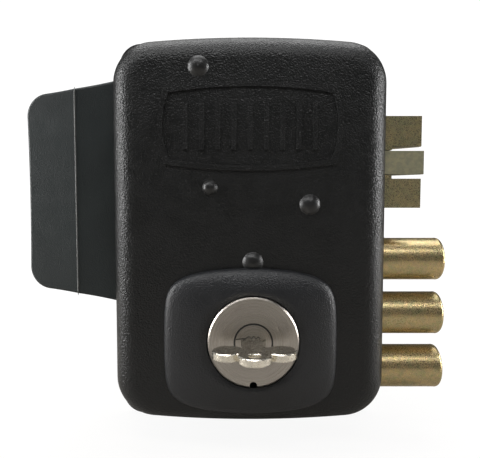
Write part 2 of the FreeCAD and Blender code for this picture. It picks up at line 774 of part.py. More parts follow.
def gear_face(teeth, centre_x, centre_z, aim):
    """A flat involute gear on the front plane with one tooth pointing at an angle in degrees."""
    module, slack = number("gear_module"), number("gear_backlash")
    pitch = module * teeth / 2
    base, tip, root = pitch * math.cos(math.radians(20)), pitch + 0.85 * module, pitch - 1.2 * module
    involute = math.tan(math.radians(20)) - math.radians(20)
    half = math.pi / (2 * teeth) + involute - slack / (2 * pitch)

    def flank_angle(radius):
        if radius <= base:
            return half
        pressure = math.acos(base / radius)
        return half - (math.tan(pressure) - pressure)

    def spot(radius, angle):
        return FreeCAD.Vector(centre_x + radius * math.cos(angle), 0, centre_z + radius * math.sin(angle))

    inner = max(base, root)
    radii = [inner + (tip - inner) * k / 3 for k in range(4)]
    edges = []
    step = 2 * math.pi / teeth
    for i in range(int(teeth)):
        middle = math.radians(aim) + i * step
        rising = [spot(r, middle - flank_angle(r)) for r in radii]
        falling = [spot(r, middle + flank_angle(r)) for r in reversed(radii)]
        for side in (rising, falling):
            curve = Part.BSplineCurve()
            curve.interpolate(side)
            edges.append(curve.toShape())
        edges.append(Part.Arc(rising[-1], spot(tip, middle), falling[0]).toShape())
        foot, next_foot = spot(root, middle + half), spot(root, middle + step - half)
        if base > root:
            edges.append(Part.makeLine(falling[-1], foot))
            edges.append(Part.makeLine(next_foot, spot(inner, middle + step - half)))
        edges.append(Part.Arc(foot, spot(root, middle + step / 2), next_foot).toShape())
    return Part.Face(Part.Wire(Part.__sortEdges__(edges)))


def gear_solid(name, teeth, x, z, aim, rear, front):
    """A spur gear between two depths, as a feature whose form is worked out from the sheet."""
    face = gear_face(number(teeth), number(x), number(z), aim)
    solid = face.extrude(FreeCAD.Vector(0, -(number(front) - number(rear)), 0))
    solid.translate(FreeCAD.Vector(0, -number(rear), 0))
    feature = doc.addObject("Part::Feature", name)
    feature.Shape = solid
    return feature


def drive_pinion():
    """The pinion on the tail of the plug."""
    gear = gear_solid("pinion_teeth_form", "pinion_teeth", "cylinder_x", "cylinder_z",
                      number("idler_angle"), "gear_rear", "gear_front")
    bore = rod("pinion_bore", "y", "plug_tail_radius", ("gear_rear - 1", "gear_front + 1"), "cylinder_x",
               "cylinder_z")
    return cut_from("drive_pinion", gear, [bore])


def idler_gear():
    """A wheel and a smaller gear in one piece: the wheel meets the pinion, the other the rack."""
    aim = number("idler_angle") + 180 + 180 / number("idler_teeth")
    wheel = gear_solid("idler_wheel", "idler_teeth", IDLER_X, IDLER_Z, aim, "gear_rear", "gear_front")
    small = gear_solid("idler_small_gear", "idler_small_teeth", IDLER_X, IDLER_Z, 90,
                       "plate_thickness + gear_float", "gear_rear")
    bore = rod("idler_bore", "y", "stud_radius + running_gap", ("0", "gear_front + 1"), IDLER_X, IDLER_Z)
    return cut_from("idler_gear", fused("idler_blank", [wheel, small]), [bore])


def idler_stud():
    """The stud that is riveted to the plate, with a collar that keeps the idler on."""
    collar = "gear_front + gear_float"
    return turned("idler_stud", [("0", "plate_thickness"), ("stud_radius", "plate_thickness"),
                                 ("stud_radius", collar), ("stud_radius + stud_collar", collar),
                                 ("stud_radius + stud_collar", f"{collar} + stud_collar"),
                                 ("0", f"{collar} + stud_collar")], IDLER_X, IDLER_Z)


def bolt_slide():
    """The rack plate that slides on the back plate and carries the bolt bar."""
    body = new_body("bolt_slide")
    addendum, root = "0.85 * gear_module", "1.15 * gear_module"
    tip_z = f"({PITCH_Z} - {addendum})"
    front_pad(body, "SlideBar", rectangle("slide_left", "bolt_bar_x", tip_z, "slide_top_z"),
              "plate_thickness", "rack_front")
    slope = "tan(20)"
    half = "(gear_module * pi / 4 + gear_backlash / 2)"
    left = f"({IDLER_X} - slide_gap_lead * gear_module * pi)"
    front_cut(body, "ToothGap", [(f"{left} - {half} - {addendum} * {slope}", f"{tip_z} - 1"),
                                 (f"{left} - {half} - {addendum} * {slope}", tip_z),
                                 (f"{left} - {half} + {root} * {slope}", f"{PITCH_Z} + {root}"),
                                 (f"{left} + {half} - {root} * {slope}", f"{PITCH_Z} + {root}"),
                                 (f"{left} + {half} + {addendum} * {slope}", tip_z),
                                 (f"{left} + {half} + {addendum} * {slope}", f"{tip_z} - 1")],
              "plate_thickness", "rack_front")
    row = body.newObject("PartDesign::LinearPattern", "ToothRow")
    row.Originals = [body.Tip]
    row.Direction = (origin_axis(body, "X_Axis"), [""])
    row.setExpression("Length", bound("(slide_gap_count - 1) * gear_module * pi"))
    row.setExpression("Occurrences", bound("slide_gap_count"))
    doc.recompute()
    body.Tip = row
    doc.recompute()
    slot = rectangle("slide_stud_x - slide_stud_radius - window_gap",
                     "slide_stud_x + slide_stud_radius + bolt_travel + window_gap",
                     "slide_stud_z - slide_stud_radius - running_gap",
                     "slide_stud_z + slide_stud_radius + running_gap")
    front_cut(body, "GuideSlot", slot, "plate_thickness", "rack_front")
    return body


def origin_axis(body, role):
    """The body's own origin axis with this role."""
    return [f for f in body.Origin.OriginFeatures if f.Role == role][0]


def slide_stud():
    """The headed stud that guides the rack plate."""
    return turned("slide_stud", [("0", "plate_thickness"), ("slide_stud_radius", "plate_thickness"),
                                 ("slide_stud_radius", "rack_front + running_gap"),
                                 ("slide_stud_radius + stud_collar", "rack_front + running_gap"),
                                 ("slide_stud_radius + stud_collar",
                                  "rack_front + running_gap + stud_collar"),
                                 ("0", "rack_front + running_gap + stud_collar")], "slide_stud_x",
                  "slide_stud_z")


def bolt_z(i):
    """The height of one dead bolt's axis."""
    return f"(bolt_top_z - {i} * bolt_pitch)"


def bolt_bar():
    """The bar that carries the three bolts, welded to the rack plate."""
    bar = block("bolt_bar_blank", ("bolt_bar_x", "bolt_bar_x + bolt_bar_thickness"),
                ("plate_thickness", "bolt_bar_front"), (f"{bolt_z(2)} - bolt_radius",
                                                        f"{bolt_z(0)} + bolt_radius"))
    holes = [rod(f"bolt_bar_hole_{i}", "x", "bolt_radius / 2", ("bolt_bar_x - 1",
                                                                "bolt_bar_x + bolt_bar_thickness + 1"),
                 "bolt_depth", bolt_z(i)) for i in range(3)]
    return cut_from("bolt_bar", bar, holes)


def dead_bolts():
    """Three turned bolts with chamfered, slightly domed ends and spigots in the bar."""
    bolts = []
    face = "bolt_bar_x + bolt_bar_thickness"
    for i in range(3):
        body = new_body(f"dead_bolt_{i}")
        sketch = attach(body, f"dead_bolt_{i}_profile", "XY_Plane", bolt_z(i))
        rim = "(bolt_radius - bolt_tip_chamfer)"
        outline(sketch, [("bolt_bar_x", "-bolt_depth"), ("bolt_bar_x", "-bolt_depth - bolt_radius / 2"),
                         (face, "-bolt_depth - bolt_radius / 2"), (face, "-bolt_depth - bolt_radius"),
                         ("bolt_tip_x - bolt_tip_chamfer", "-bolt_depth - bolt_radius", "bolt_tip_round"),
                         ("bolt_tip_x - bolt_tip_dome", f"-bolt_depth - {rim}"),
                         ("bolt_tip_x", "-bolt_depth")])
        axis = sketch.addGeometry(Part.LineSegment(FreeCAD.Vector(0, -number("bolt_depth"), 0),
                                                   FreeCAD.Vector(1, -number("bolt_depth"), 0)), True)
        place_point(sketch, axis, 1, ("0", "-bolt_depth"))
        place_point(sketch, axis, 2, ("1", "-bolt_depth"))
        turn = body.newObject("PartDesign::Revolution", f"dead_bolt_{i}_turn")
        turn.Profile = sketch
        turn.ReferenceAxis = (sketch, ["Axis0"])
        turn.Angle = 360.0
        doc.recompute()
        bolts.append(body)
    return grouped("dead_bolts", bolts)


def bolt_guide():
    """The guide plate behind the cover's side, bored for the bolts and cut for the latch."""
    across = ("guide_x", "guide_x + guide_thickness")
    blank = block("bolt_guide_blank", across, ("plate_thickness", "guide_front"),
                  ("guide_bottom_z", "guide_top_z"))
    wide = ("guide_x - 1", "guide_x + guide_thickness + 1")
    tools = [rod(f"guide_bore_{i}", "x", "bolt_radius + running_gap", wide, "bolt_depth",
                 bolt_z(i)) for i in range(3)]
    tools.append(block("guide_latch_window", wide, ("latch_rear - running_gap", "latch_front + running_gap"),
                       ("latch_bottom_z - running_gap", "latch_top_z + running_gap")))
    for i, z in enumerate(("guide_screw_low_z", "guide_screw_high_z")):
        tools.append(rod(f"guide_thread_{i}", "y", "screw_radius + running_gap",
                         ("0", "plate_thickness + screw_reach + window_gap"),
                         "guide_x + guide_thickness / 2", z))
    return cut_from("bolt_guide", blank, tools)


def guide_screws():
    """Two countersunk screws from the rear of the plate into the guide."""
    screws = []
    for i, z in enumerate(("guide_screw_low_z", "guide_screw_high_z")):
        screws.append(turned(f"guide_screw_{i}", [("0", "screw_slot"), ("screw_slot_radius", "screw_slot"),
                                                  ("screw_slot_radius", "0"), ("screw_head_radius", "0"),
                                                  ("screw_head_radius", "screw_head_depth"),
                                                  ("screw_radius", "screw_head_depth"),
                                                  ("screw_radius", "plate_thickness + screw_reach"),
                                                  ("0", "plate_thickness + screw_reach")],
                             "guide_x + guide_thickness / 2", z))
    return grouped("guide_screws", screws)


def bevel(body, name, tip):
    """Slope the rear of a latch piece towards its tip."""
    slope = [(f"{tip} - latch_bevel", "-latch_rear + 1"), (f"{tip} - latch_bevel", "-latch_rear"),
             (f"{tip}", "-latch_front + latch_nose"), (f"{tip} + 1", "-latch_front + latch_nose"),
             (f"{tip} + 1", "-latch_rear + 1")]
    plane_cut(body, "XY_Plane", name, slope, "latch_bottom_z - 1", "latch_top_z + 1")


def latch_fork():
    """The sprung latch: two prongs on a web, bevelled at the rear."""
    body = new_body("latch_fork")
    web_right = "latch_web_x + latch_web_thickness"
    low, high = "latch_bottom_z - latch_web_overhang", "latch_top_z + latch_web_overhang"
    front_pad(body, "Fork", [("latch_web_x", low), (web_right, low), (web_right, "latch_bottom_z"),
                             ("latch_tip_x", "latch_bottom_z"), ("latch_tip_x", "latch_slot_wide_bottom"),
                             ("latch_step_x", "latch_slot_wide_bottom"),
                             ("latch_step_x", "latch_slot_bottom"), (web_right, "latch_slot_bottom"),
                             (web_right, "latch_slot_top"), ("latch_step_x", "latch_slot_top"),
                             ("latch_step_x", "latch_slot_wide_top"),
                             ("latch_tip_x", "latch_slot_wide_top"), ("latch_tip_x", "latch_top_z"),
                             (web_right, "latch_top_z"), (web_right, high), ("latch_web_x", high)],
              "latch_rear", "latch_front")
    bevel(body, "ForkBevel", "latch_tip_x")
    front_pad(body, "ForkFoot", rectangle("latch_web_x", web_right, "tail_bottom_z", "tail_top_z"),
              "plate_thickness", "latch_rear")
    plane_cut(body, "YZ_Plane", "RodHole", [], "latch_web_x - 1", f"{web_right} + 1",
              [("-trigger_rod_depth", "(trigger_top_z + trigger_bottom_z) / 2",
                "trigger_rod_radius + running_gap")])
    return body


def latch_tail():
    """The flat tail of the latch, with the finger's window, a lug and the catch's slot."""
    body = new_body("latch_tail")
    front = "(plate_thickness + tail_thickness)"
    front_pad(body, "Tail", rectangle(f"{TAIL_LEFT} - tail_lug", "latch_web_x", "tail_bottom_z",
                                      "tail_top_z"), "plate_thickness", front)
    window = rectangle(TAIL_LEFT, "tail_window_right", "finger_bottom_z - tail_side_gap",
                       "finger_top_z + tail_side_gap")
    front_cut(body, "FingerWindow", window, "plate_thickness", front)
    catch = rectangle("tail_slot_left", "tail_slot_right", "catch_z - tail_slot_half",
                      "catch_z + tail_slot_half")
    front_cut(body, "CatchSlot", catch, "plate_thickness", front)
    front_pad(body, "Lug", rectangle(f"{TAIL_LEFT} - tail_lug", TAIL_LEFT, "tail_bottom_z + 1",
                                     "tail_top_z - 1"), front, "tail_lug_front")
    return body


def latch_trigger():
    """The separate middle piece of the latch, on its own rod and spring."""
    body = new_body("trigger_head")
    front_pad(body, "Head", rectangle("trigger_rear_x", "trigger_tip_x", "trigger_bottom_z",
                                      "trigger_top_z"), "latch_rear", "latch_front")
    bevel(body, "HeadBevel", "trigger_tip_x")
    z = "(trigger_top_z + trigger_bottom_z) / 2"
    shaft = rod("trigger_rod", "x", "trigger_rod_radius", ("trigger_rod_end_x", "trigger_rear_x"),
                "trigger_rod_depth", z)
    collar = rod("trigger_collar", "x", "trigger_rod_radius * 1.6",
                 ("trigger_rod_end_x", "latch_web_x - ear_gap"), "trigger_rod_depth", z)
    return fused("latch_trigger", [body, shaft, collar])


def pull_handle():
    """The moulded pull paddle with its two arms, hinge bosses and the finger that draws the latch."""
    body = new_body("paddle")
    section = [("paddle_root_x", "-paddle_root_depth"), ("paddle_crease_x", "-paddle_crease_depth"),
               ("paddle_tip_x", "-paddle_tip_depth"), ("paddle_tip_x", "-paddle_tip_depth + paddle_wall"),
               ("paddle_crease_x", "-paddle_crease_depth + paddle_wall"),
               ("paddle_root_x", "-paddle_root_depth + paddle_wall")]
    plane_pad(body, "XY_Plane", "Paddle", section, "paddle_bottom_z - 2", "paddle_top_z + 2")
    trim = attach(body, "PaddleTrimOutline", "XZ_Plane", "paddle_crease_depth + 1")
    outline(trim, rectangle("paddle_tip_x - 2", "paddle_root_x + 2", "paddle_bottom_z - 4",
                            "paddle_top_z + 4"))
    outline(trim, [("paddle_root_x", "paddle_bottom_z"), ("paddle_root_x", "paddle_top_z", "-paddle_bow"),
                   ("paddle_tip_x", "paddle_tip_top", "-paddle_side_bow"),
                   ("paddle_tip_x", "paddle_tip_bottom", "-paddle_bow")])
    extrude(body, "Pocket", "PaddleTrim", trim, "paddle_crease_depth + 2")
    tips = edges_where(body.Tip,
                       lambda e: e.BoundBox.XMax < number("paddle_tip_x") + 0.5 and e.BoundBox.ZLength < 0.5)
    dress_edges(body, "Fillet", "PaddleCorners", tips, "paddle_corner")
    root = number("paddle_root_x")
    rim = edges_where(body.Tip, lambda e: e.BoundBox.XMax < root + 0.1 and is_front_rim(e))
    dress_edges(body, "Fillet", "PaddleRim", rim, "paddle_edge")
    arms = []
    for arm in ("arm_lower_z", "arm_upper_z"):
        arms.append(block(f"handle_{arm}_bar", ("paddle_root_x - paddle_wall", "pivot_x"),
                          ("paddle_root_depth - paddle_wall", "paddle_root_depth - paddle_edge"),
                          (f"{arm} - arm_width / 2", f"{arm} + arm_width / 2")))
        arms.append(rod(f"handle_{arm}_boss", "z", "boss_radius",
                        (f"{arm} - arm_width / 2", f"{arm} + arm_width / 2"), "pivot_x", "pivot_depth"))
    arms.append(rod("handle_boss_tube", "z", "boss_radius", ("boss_tube_bottom_z", "arm_upper_z"),
                    "pivot_x", "pivot_depth"))
    for i in range(3):
        middle = f"(paddle_top_z + paddle_bottom_z) / 2 + ({i} - 1) * paddle_rib_pitch"
        arms.append(block(f"handle_rear_rib_{i}",
                          ("paddle_tip_x + paddle_corner", "paddle_root_x - paddle_wall"),
                          ("paddle_root_depth - paddle_wall - paddle_rib",
                           "paddle_root_depth - paddle_wall + paddle_edge"),
                          (f"{middle} - paddle_edge", f"{middle} + paddle_edge")))
    finger = block("handle_finger", ("-finger_width / 2", "finger_width / 2"), ("-finger_length", "0"),
                   ("finger_bottom_z", "finger_top_z"))
    finger.setExpression(".Placement.Base.x", bound("pivot_x - finger_width / 2 * cos(finger_angle)"))
    finger.setExpression(".Placement.Base.y", bound("-pivot_depth - finger_width / 2 * sin(finger_angle)"))
    finger.setExpression(".Placement.Rotation.Angle", bound("-finger_angle"))
    arms.append(finger)
    doc.recompute()
    bore = rod("handle_pin_bore", "z", "pin_radius + running_gap", ("paddle_bottom_z", "paddle_top_z"),
               "pivot_x", "pivot_depth")
    return cut_from("pull_handle", fused("handle_moulding", [body] + arms), [bore])


def is_front_rim(edge):
    """Whether an edge bounds the paddle's front face, away from its root and its crease."""
    box = edge.BoundBox
    x, depth = (box.XMin + box.XMax) / 2, -(box.YMin + box.YMax) / 2
    if along(edge, FreeCAD.Vector(0, 0, 1)) and box.XMax > number("paddle_crease_x") - 1:
        return False
    crease, root, tip = (number(f"paddle_{n}_x") for n in ("crease", "root", "tip"))
    near, far, end = (number(f"paddle_{n}_depth") for n in ("crease", "root", "tip"))
    if x > crease:
        surface = near + (far - near) * (x - crease) / (root - crease)
    else:
        surface = near + (end - near) * (x - crease) / (tip - crease)
    return depth > surface - number("paddle_wall") / 3


def hinge_pin():
    """The steel pin that the handle turns on."""
    low = "arm_lower_z - arm_width / 2 - ear_gap - ear_thickness"
    high = "arm_upper_z + arm_width / 2 + ear_gap + ear_thickness"
    pin = rod("hinge_pin", "z", "pin_radius", (low, high), "pivot_x", "pivot_depth")
    pin.Label = "hinge_pin"
    return pin


def hinge_brackets():
    """Two bent brackets on the plate, each with an ear for one end of the pin."""
    made = []
    for name, side, inner in (("upper", 1, "(arm_upper_z + arm_width / 2 + ear_gap)"),
                              ("lower", -1, "(arm_lower_z - arm_width / 2 - ear_gap)")):
        outer = f"({inner} + {side} * ear_thickness)"
        span = (inner, outer) if side > 0 else (outer, inner)
        foot = (inner, f"({inner} + ear_foot)")
        ear = block(f"ear_{name}", ("ear_left", "ear_right"), ("plate_thickness",
                                                               "pivot_depth + boss_radius"), span)
        base = block(f"ear_foot_{name}", ("ear_left", "ear_foot_right"),
                     ("plate_thickness", "plate_thickness + ear_thickness"), foot)
        bore = rod(f"ear_bore_{name}", "z", "pin_radius", (f"{span[0]} - 1", f"{span[1]} + 1"), "pivot_x",
                   "pivot_depth")
        made.append(cut_from(f"hinge_bracket_{name}", fused(f"ear_form_{name}", [ear, base]), [bore]))
    return made


def coil(label, axis, radius, wire, start, end, first, second, turns):
    """A closed-end wire spring along one axis, swept round a helix of its own length."""
    length = number(end) - number(start) - number(wire) * 2
    helix = Part.makeHelix(length / turns, length, number(radius))
    section = Part.Wire(Part.makeCircle(number(wire), FreeCAD.Vector(number(radius), 0, 0),
                                        FreeCAD.Vector(0, 1, 0)))
    swept = Part.Wire(helix).makePipeShell([section], True, True)
    spot = {"x": (number(start) + number(wire), -number(first), number(second)),
            "z": (number(first), -number(second), number(start) + number(wire))}[axis]
    feature = doc.addObject("Part::Feature", label)
    feature.Label = label
    feature.Shape = swept
    feature.Placement = FreeCAD.Placement(FreeCAD.Vector(*spot), TURNS[axis])
    return feature


def springs():
    """The four wire springs: latch, trigger, plunger and handle."""
    rod_z = "(trigger_top_z + trigger_bottom_z) / 2"
    return [coil("latch_spring", "x", "latch_spring_radius", "thick_wire",
                 "spring_seat_x + spring_seat_thickness", "latch_web_x", "trigger_rod_depth",
                 "latch_spring_z", 7), coil("trigger_spring", "x", "trigger_rod_radius + thin_wire * 2.4",
                                            "thin_wire", "latch_web_x + latch_web_thickness",
                                            "trigger_rear_x", "trigger_rod_depth", rod_z, 5),
            coil("plunger_spring", "x", "plunger_radius + thin_wire * 2.4", "thin_wire",
                 "plunger_collar_x + plunger_collar", "solenoid_left_x", "solenoid_depth", "solenoid_z",
                 5), coil("handle_spring", "z", "pin_radius + thin_wire * 2.4", "thin_wire",
                          "arm_lower_z + arm_width / 2", "boss_tube_bottom_z", "pivot_x", "pivot_depth",
                          8)]


def spring_bracket():
    """The bracket on the plate that the latch spring pushes against."""
    upright = block("spring_wall", ("spring_seat_x", "spring_seat_x + spring_seat_thickness"),
                    ("plate_thickness", "spring_seat_front"), ("tail_top_z + 1",
                                                               "latch_spring_z + latch_spring_radius"))
    foot = block("spring_foot", ("spring_seat_x - spring_foot", "spring_seat_x"),
                 ("plate_thickness", "plate_thickness + spring_seat_thickness"),
                 ("tail_top_z + 1", "latch_spring_z + latch_spring_radius"))
    spigot = rod("spring_spigot", "x", "latch_spring_radius - thick_wire * 1.4",
                 ("spring_seat_x + spring_seat_thickness", "spring_seat_x + spring_foot"),
                 "trigger_rod_depth", "latch_spring_z")
    return fused("spring_bracket", [upright, foot, spigot])


def solenoid():
    """The electric release: a bent frame, a bobbin with its winding, and the plunger."""
    half = "solenoid_radius"
    low, high = f"solenoid_z - {half}", f"solenoid_z + {half}"
    left, right, wall = "solenoid_left_x", "solenoid_right_x", "solenoid_wall"
    front = f"solenoid_depth + {half}"
    parts = [block("solenoid_back", (left, right), ("plate_thickness", f"plate_thickness + {wall}"),
                   (low, high)), block("solenoid_wall_left", (left, f"{left} + {wall}"),
                                       ("plate_thickness", front), (low, high)),
             block("solenoid_wall_right", (f"{right} - {wall}", right), ("plate_thickness", front),
                   (low, high))]
    bore = rod("solenoid_frame_bore", "x", "plunger_radius + plunger_gap",
               (f"{left} - 1", f"{left} + {wall} + 1"), "solenoid_depth", "solenoid_z")
    frame = cut_from("solenoid_frame", fused("solenoid_frame_blank", parts), [bore])
    inner = (f"{left} + {wall}", f"{right} - {wall}")
    flange = "bobbin_flange"
    tube = [rod("bobbin_tube", "x", "plunger_radius + plunger_gap + bobbin_wall", inner, "solenoid_depth",
                "solenoid_z"), rod("bobbin_left", "x", f"{half} - bobbin_clear",
                                   (inner[0], f"{inner[0]} + {flange}"), "solenoid_depth", "solenoid_z"),
            rod("bobbin_right", "x", f"{half} - bobbin_clear", (f"{inner[1]} - {flange}", inner[1]),
                "solenoid_depth", "solenoid_z")]
    hollow = rod("bobbin_bore", "x", "plunger_radius + plunger_gap",
                 (f"{inner[0]} - 1", f"{inner[1]} + 1"), "solenoid_depth", "solenoid_z")
    bobbin = cut_from("coil_bobbin", fused("bobbin_blank", tube), [hollow])
    wound = rod("winding_outer", "x", f"{half} - bobbin_clear - bobbin_wall",
                (f"{inner[0]} + {flange}", f"{inner[1]} - {flange}"), "solenoid_depth", "solenoid_z")
    core = rod("winding_inner", "x", "plunger_radius + plunger_gap + bobbin_wall", (inner[0], inner[1]),
               "solenoid_depth", "solenoid_z")
    winding = cut_from("coil_winding", wound, [core])
    stroke_end = f"{right} - {wall} - plunger_travel - plunger_gap"
    shaft = rod("plunger_shaft", "x", "plunger_radius", ("plunger_end_x", stroke_end),
                "solenoid_depth", "solenoid_z")
    collar = rod("plunger_shoulder", "x", "plunger_radius + thin_wire * 3",
                 ("plunger_collar_x", "plunger_collar_x + plunger_collar"), "solenoid_depth",
                 "solenoid_z")
    peg = rod("plunger_peg", "y", "peg_radius", ("lever_rear", "solenoid_depth"), "peg_x", "solenoid_z")
    return [frame, bobbin, winding, fused("plunger", [shaft, collar, peg])]


def catch_lever():
    """The flat lever on post B that the plunger turns, with a nose in the latch tail's slot."""
    body = new_body("lever_plate")
    front_pad(body, "Lever", [("post_b_x + lever_hub", "post_b_z"),
                              ("post_b_x + lever_hub * 0.8", "post_b_z - lever_hub * 0.8"),
                              ("post_b_x - lever_hub * 0.8", "post_b_z - lever_hub * 0.8"),
                              ("post_b_x - lever_hub", "post_b_z"),
                              ("peg_x - lever_arm", "solenoid_z - lever_arm"),
                              ("peg_x - lever_arm", "solenoid_z + lever_arm"),
                              ("peg_x + lever_arm", "solenoid_z + lever_arm"),
                              ("peg_x + lever_arm", "solenoid_z - lever_arm"),
                              ("post_b_x + lever_hub * 0.3", "catch_z + catch_half * 2"),
                              ("catch_x + catch_half", "catch_z + catch_half"),
                              ("catch_x + catch_half", "catch_z - catch_half")], "lever_rear",
              "lever_front")
    front_cut(body, "LeverBore", [], "lever_rear", "lever_front",
              [("post_b_x", "post_b_z", "post_radius + running_gap")])
    front_cut(body, "PegSlot", rectangle("peg_x - peg_radius - peg_play", "peg_x + peg_radius + peg_play",
                                         "solenoid_z - peg_radius * 2", "solenoid_z + peg_radius * 2"),
              "lever_rear", "lever_front")
    nose = block("lever_nose", ("catch_x - catch_half", "catch_x + catch_half"),
                 ("plate_thickness + gear_float", "lever_rear"),
                 ("catch_z - catch_half", "catch_z + catch_half"))
    return fused("catch_lever", [body, nose])


def terminals():
    """The terminal block with two clamp screws, the coil's leads and the cable grommet."""
    low, high = "terminal_z - terminal_height / 2", "terminal_z + terminal_height / 2"
    left, right = "terminal_x - terminal_width / 2", "terminal_x + terminal_width / 2"
    blank = block("terminal_blank", (left, right), ("plate_thickness", "terminal_front"), (low, high))
    rib = block("terminal_rib", ("terminal_x - terminal_rib / 2", "terminal_x + terminal_rib / 2"),
                ("terminal_front", "terminal_front + terminal_rib"), (low, high))
    spots = [f"(terminal_x + {side} * terminal_width / 4)" for side in (-1, 1)]
    wells = [rod(f"terminal_well_{i}", "y", "terminal_screw_radius + window_gap",
                 ("terminal_front - terminal_screw_depth", "terminal_front + 1"), x, "terminal_z")
             for i, x in enumerate(spots)]
    entries = [rod(f"terminal_entry_{i}", "y", "lead_radius", ("terminal_front - lead_reach",
                                                               "terminal_front + 1"), x,
                   "terminal_z + lead_offset") for i, x in enumerate(spots)]
    block_made = cut_from("terminal_block", fused("terminal_form", [blank, rib]), wells + entries)
    screws = []
    for i, x in enumerate(spots):
        head = rod(f"terminal_screw_blank_{i}", "y", "terminal_screw_radius",
                   ("terminal_front - terminal_screw_depth", "terminal_front - 0.5"), x, "terminal_z")
        slot = block(f"terminal_screw_slot_{i}", (f"{x} - terminal_screw_radius",
                                                  f"{x} + terminal_screw_radius"),
                     ("terminal_front - 1.1", "terminal_front"), ("terminal_z - 0.3", "terminal_z + 0.3"))
        screws.append(cut_from(f"terminal_screw_{i}", head, [slot]))
    grommet = cut_from("cable_grommet", fused("grommet_form", [rod("grommet_neck", "y",
                                                                   "cable_hole_radius",
                                                                   ("0.2", "plate_thickness"), "cable_x",
                                                                   "cable_z"),
                                                               rod("grommet_lip", "y",
                                                                   "cable_hole_radius + grommet_lip",
                                                                   ("plate_thickness",
                                                                    "plate_thickness + grommet_lip"),
                                                                   "cable_x", "cable_z")]),
                       [rod("grommet_bore", "y", "cable_hole_radius - grommet_wall",
                            ("0", "plate_thickness + grommet_lip + 1"), "cable_x", "cable_z")])
    return [block_made, grouped("terminal_screws", screws), coil_leads(spots), grommet]


def coil_leads(spots):
    """Two leads from the winding to the terminals, in straight runs joined by tangent arcs."""
    leads = []
    surface = number("solenoid_depth + solenoid_radius - bobbin_clear - bobbin_wall")
    for i, spot in enumerate(spots):
        x_end, z_end = number(spot), number("terminal_z + lead_offset")
        start_x = number("solenoid_left_x + solenoid_wall + bobbin_flange + lead_radius * 3")
        start_x += i * number("lead_radius * 4")
        lane = number("lead_lane_depth")
        route = [(start_x, surface, number("solenoid_z")), (start_x, lane, number("solenoid_z")),
                 (start_x, lane, number("lead_turn_z")), (x_end, lane, number("lead_turn_z")),
                 (x_end, lane, z_end), (x_end, number("terminal_front - lead_reach"), z_end)]
        path = rounded_path([FreeCAD.Vector(x, -t, z) for x, t, z in route], number("lead_bend"))
        section = Part.Wire(Part.makeCircle(number("lead_radius"),
                                            FreeCAD.Vector(start_x, -surface, number("solenoid_z")),
                                            FreeCAD.Vector(0, -1, 0)))
        feature = doc.addObject("Part::Feature", f"coil_lead_{i}")
        feature.Shape = path.makePipeShell([section], True, False)
        leads.append(feature)
    return grouped("coil_leads", leads)


def rounded_path(points, bend):
    """A wire of straight runs with one tangent arc of a given radius at each corner."""
    edges = []
    here = points[0]
    for before, corner, after in zip(points, points[1:], points[2:]):
        a, b = (before - corner).normalize(), (after - corner).normalize()
        turn = a.getAngle(b)
        reach = bend / math.tan(turn / 2)
        start, end = corner + a * reach, corner + b * reach
        centre = corner + (a + b).normalize() * (bend / math.sin(turn / 2))
        middle = centre + (corner - centre).normalize() * bend
        edges.append(Part.LineSegment(here, start).toShape())
        edges.append(Part.Arc(start, middle, end).toShape())
        here = end
    edges.append(Part.LineSegment(here, points[-1]).toShape())
    return Part.Wire(edges)


def check_and_write(nodes):
    """Stop on any failed object or bad shape, then write one STEP file for each node."""
    doc.recompute()
    for item in doc.Objects:
        if any(word in ("Invalid", "Error") for word in item.State):
            raise RuntimeError(f"{item.Name} failed: {item.State}")
    os.makedirs("parts", exist_ok=True)
    for node in nodes:
        shape = node.Shape
        if shape.isNull() or not shape.isValid() or not shape.Solids:
            raise RuntimeError(f"{node.Label} has no sound shape")
        shape.exportStep(f"parts/{node.Label}.step")
        print(node.Label, len(shape.Solids), round(shape.Volume, 1))


def main():
    """Build every sub-part of the lock and write its file."""
    fill_sheet()
    nodes = [base_plate(), front_cover(), cover_posts(), post_screws(), escutcheon(), cylinder_body(),
             cylinder_plug(), cylinder_nut(), key(), drive_pinion(), idler_gear(), idler_stud(),
             bolt_slide(), slide_stud(), bolt_bar(), dead_bolts(), bolt_guide(), guide_screws(),
             latch_fork(), latch_tail(), latch_trigger(), pull_handle(), hinge_pin()]
    nodes += hinge_brackets() + springs() + [spring_bracket()] + solenoid() + [catch_lever()] + terminals()
    check_and_write(nodes)


main()
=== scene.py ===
"""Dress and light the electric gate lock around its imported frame."""
import logging
import math
from dataclasses import dataclass, field
from enum import Enum

import bpy
import bmesh
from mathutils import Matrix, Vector
from mathutils.geometry import delaunay_2d_cdt


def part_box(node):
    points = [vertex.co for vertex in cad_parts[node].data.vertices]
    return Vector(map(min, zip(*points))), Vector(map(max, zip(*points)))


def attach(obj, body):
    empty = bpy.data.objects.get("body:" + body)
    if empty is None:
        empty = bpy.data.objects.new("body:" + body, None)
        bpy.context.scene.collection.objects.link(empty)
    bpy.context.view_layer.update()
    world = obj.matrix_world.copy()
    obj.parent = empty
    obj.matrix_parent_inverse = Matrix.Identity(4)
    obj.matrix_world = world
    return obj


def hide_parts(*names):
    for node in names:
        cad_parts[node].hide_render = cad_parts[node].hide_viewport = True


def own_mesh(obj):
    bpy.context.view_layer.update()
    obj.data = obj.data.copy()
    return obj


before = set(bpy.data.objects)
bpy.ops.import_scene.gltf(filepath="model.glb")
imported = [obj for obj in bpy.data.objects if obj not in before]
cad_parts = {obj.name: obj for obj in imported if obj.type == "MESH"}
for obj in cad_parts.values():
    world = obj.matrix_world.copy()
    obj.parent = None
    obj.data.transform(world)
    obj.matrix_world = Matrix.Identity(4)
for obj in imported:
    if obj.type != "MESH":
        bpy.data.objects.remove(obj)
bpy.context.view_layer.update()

LOG = logging.getLogger("gate_lock")
MM = 0.001
Colour = tuple[float, float, float]
Point = tuple[float, float, float]


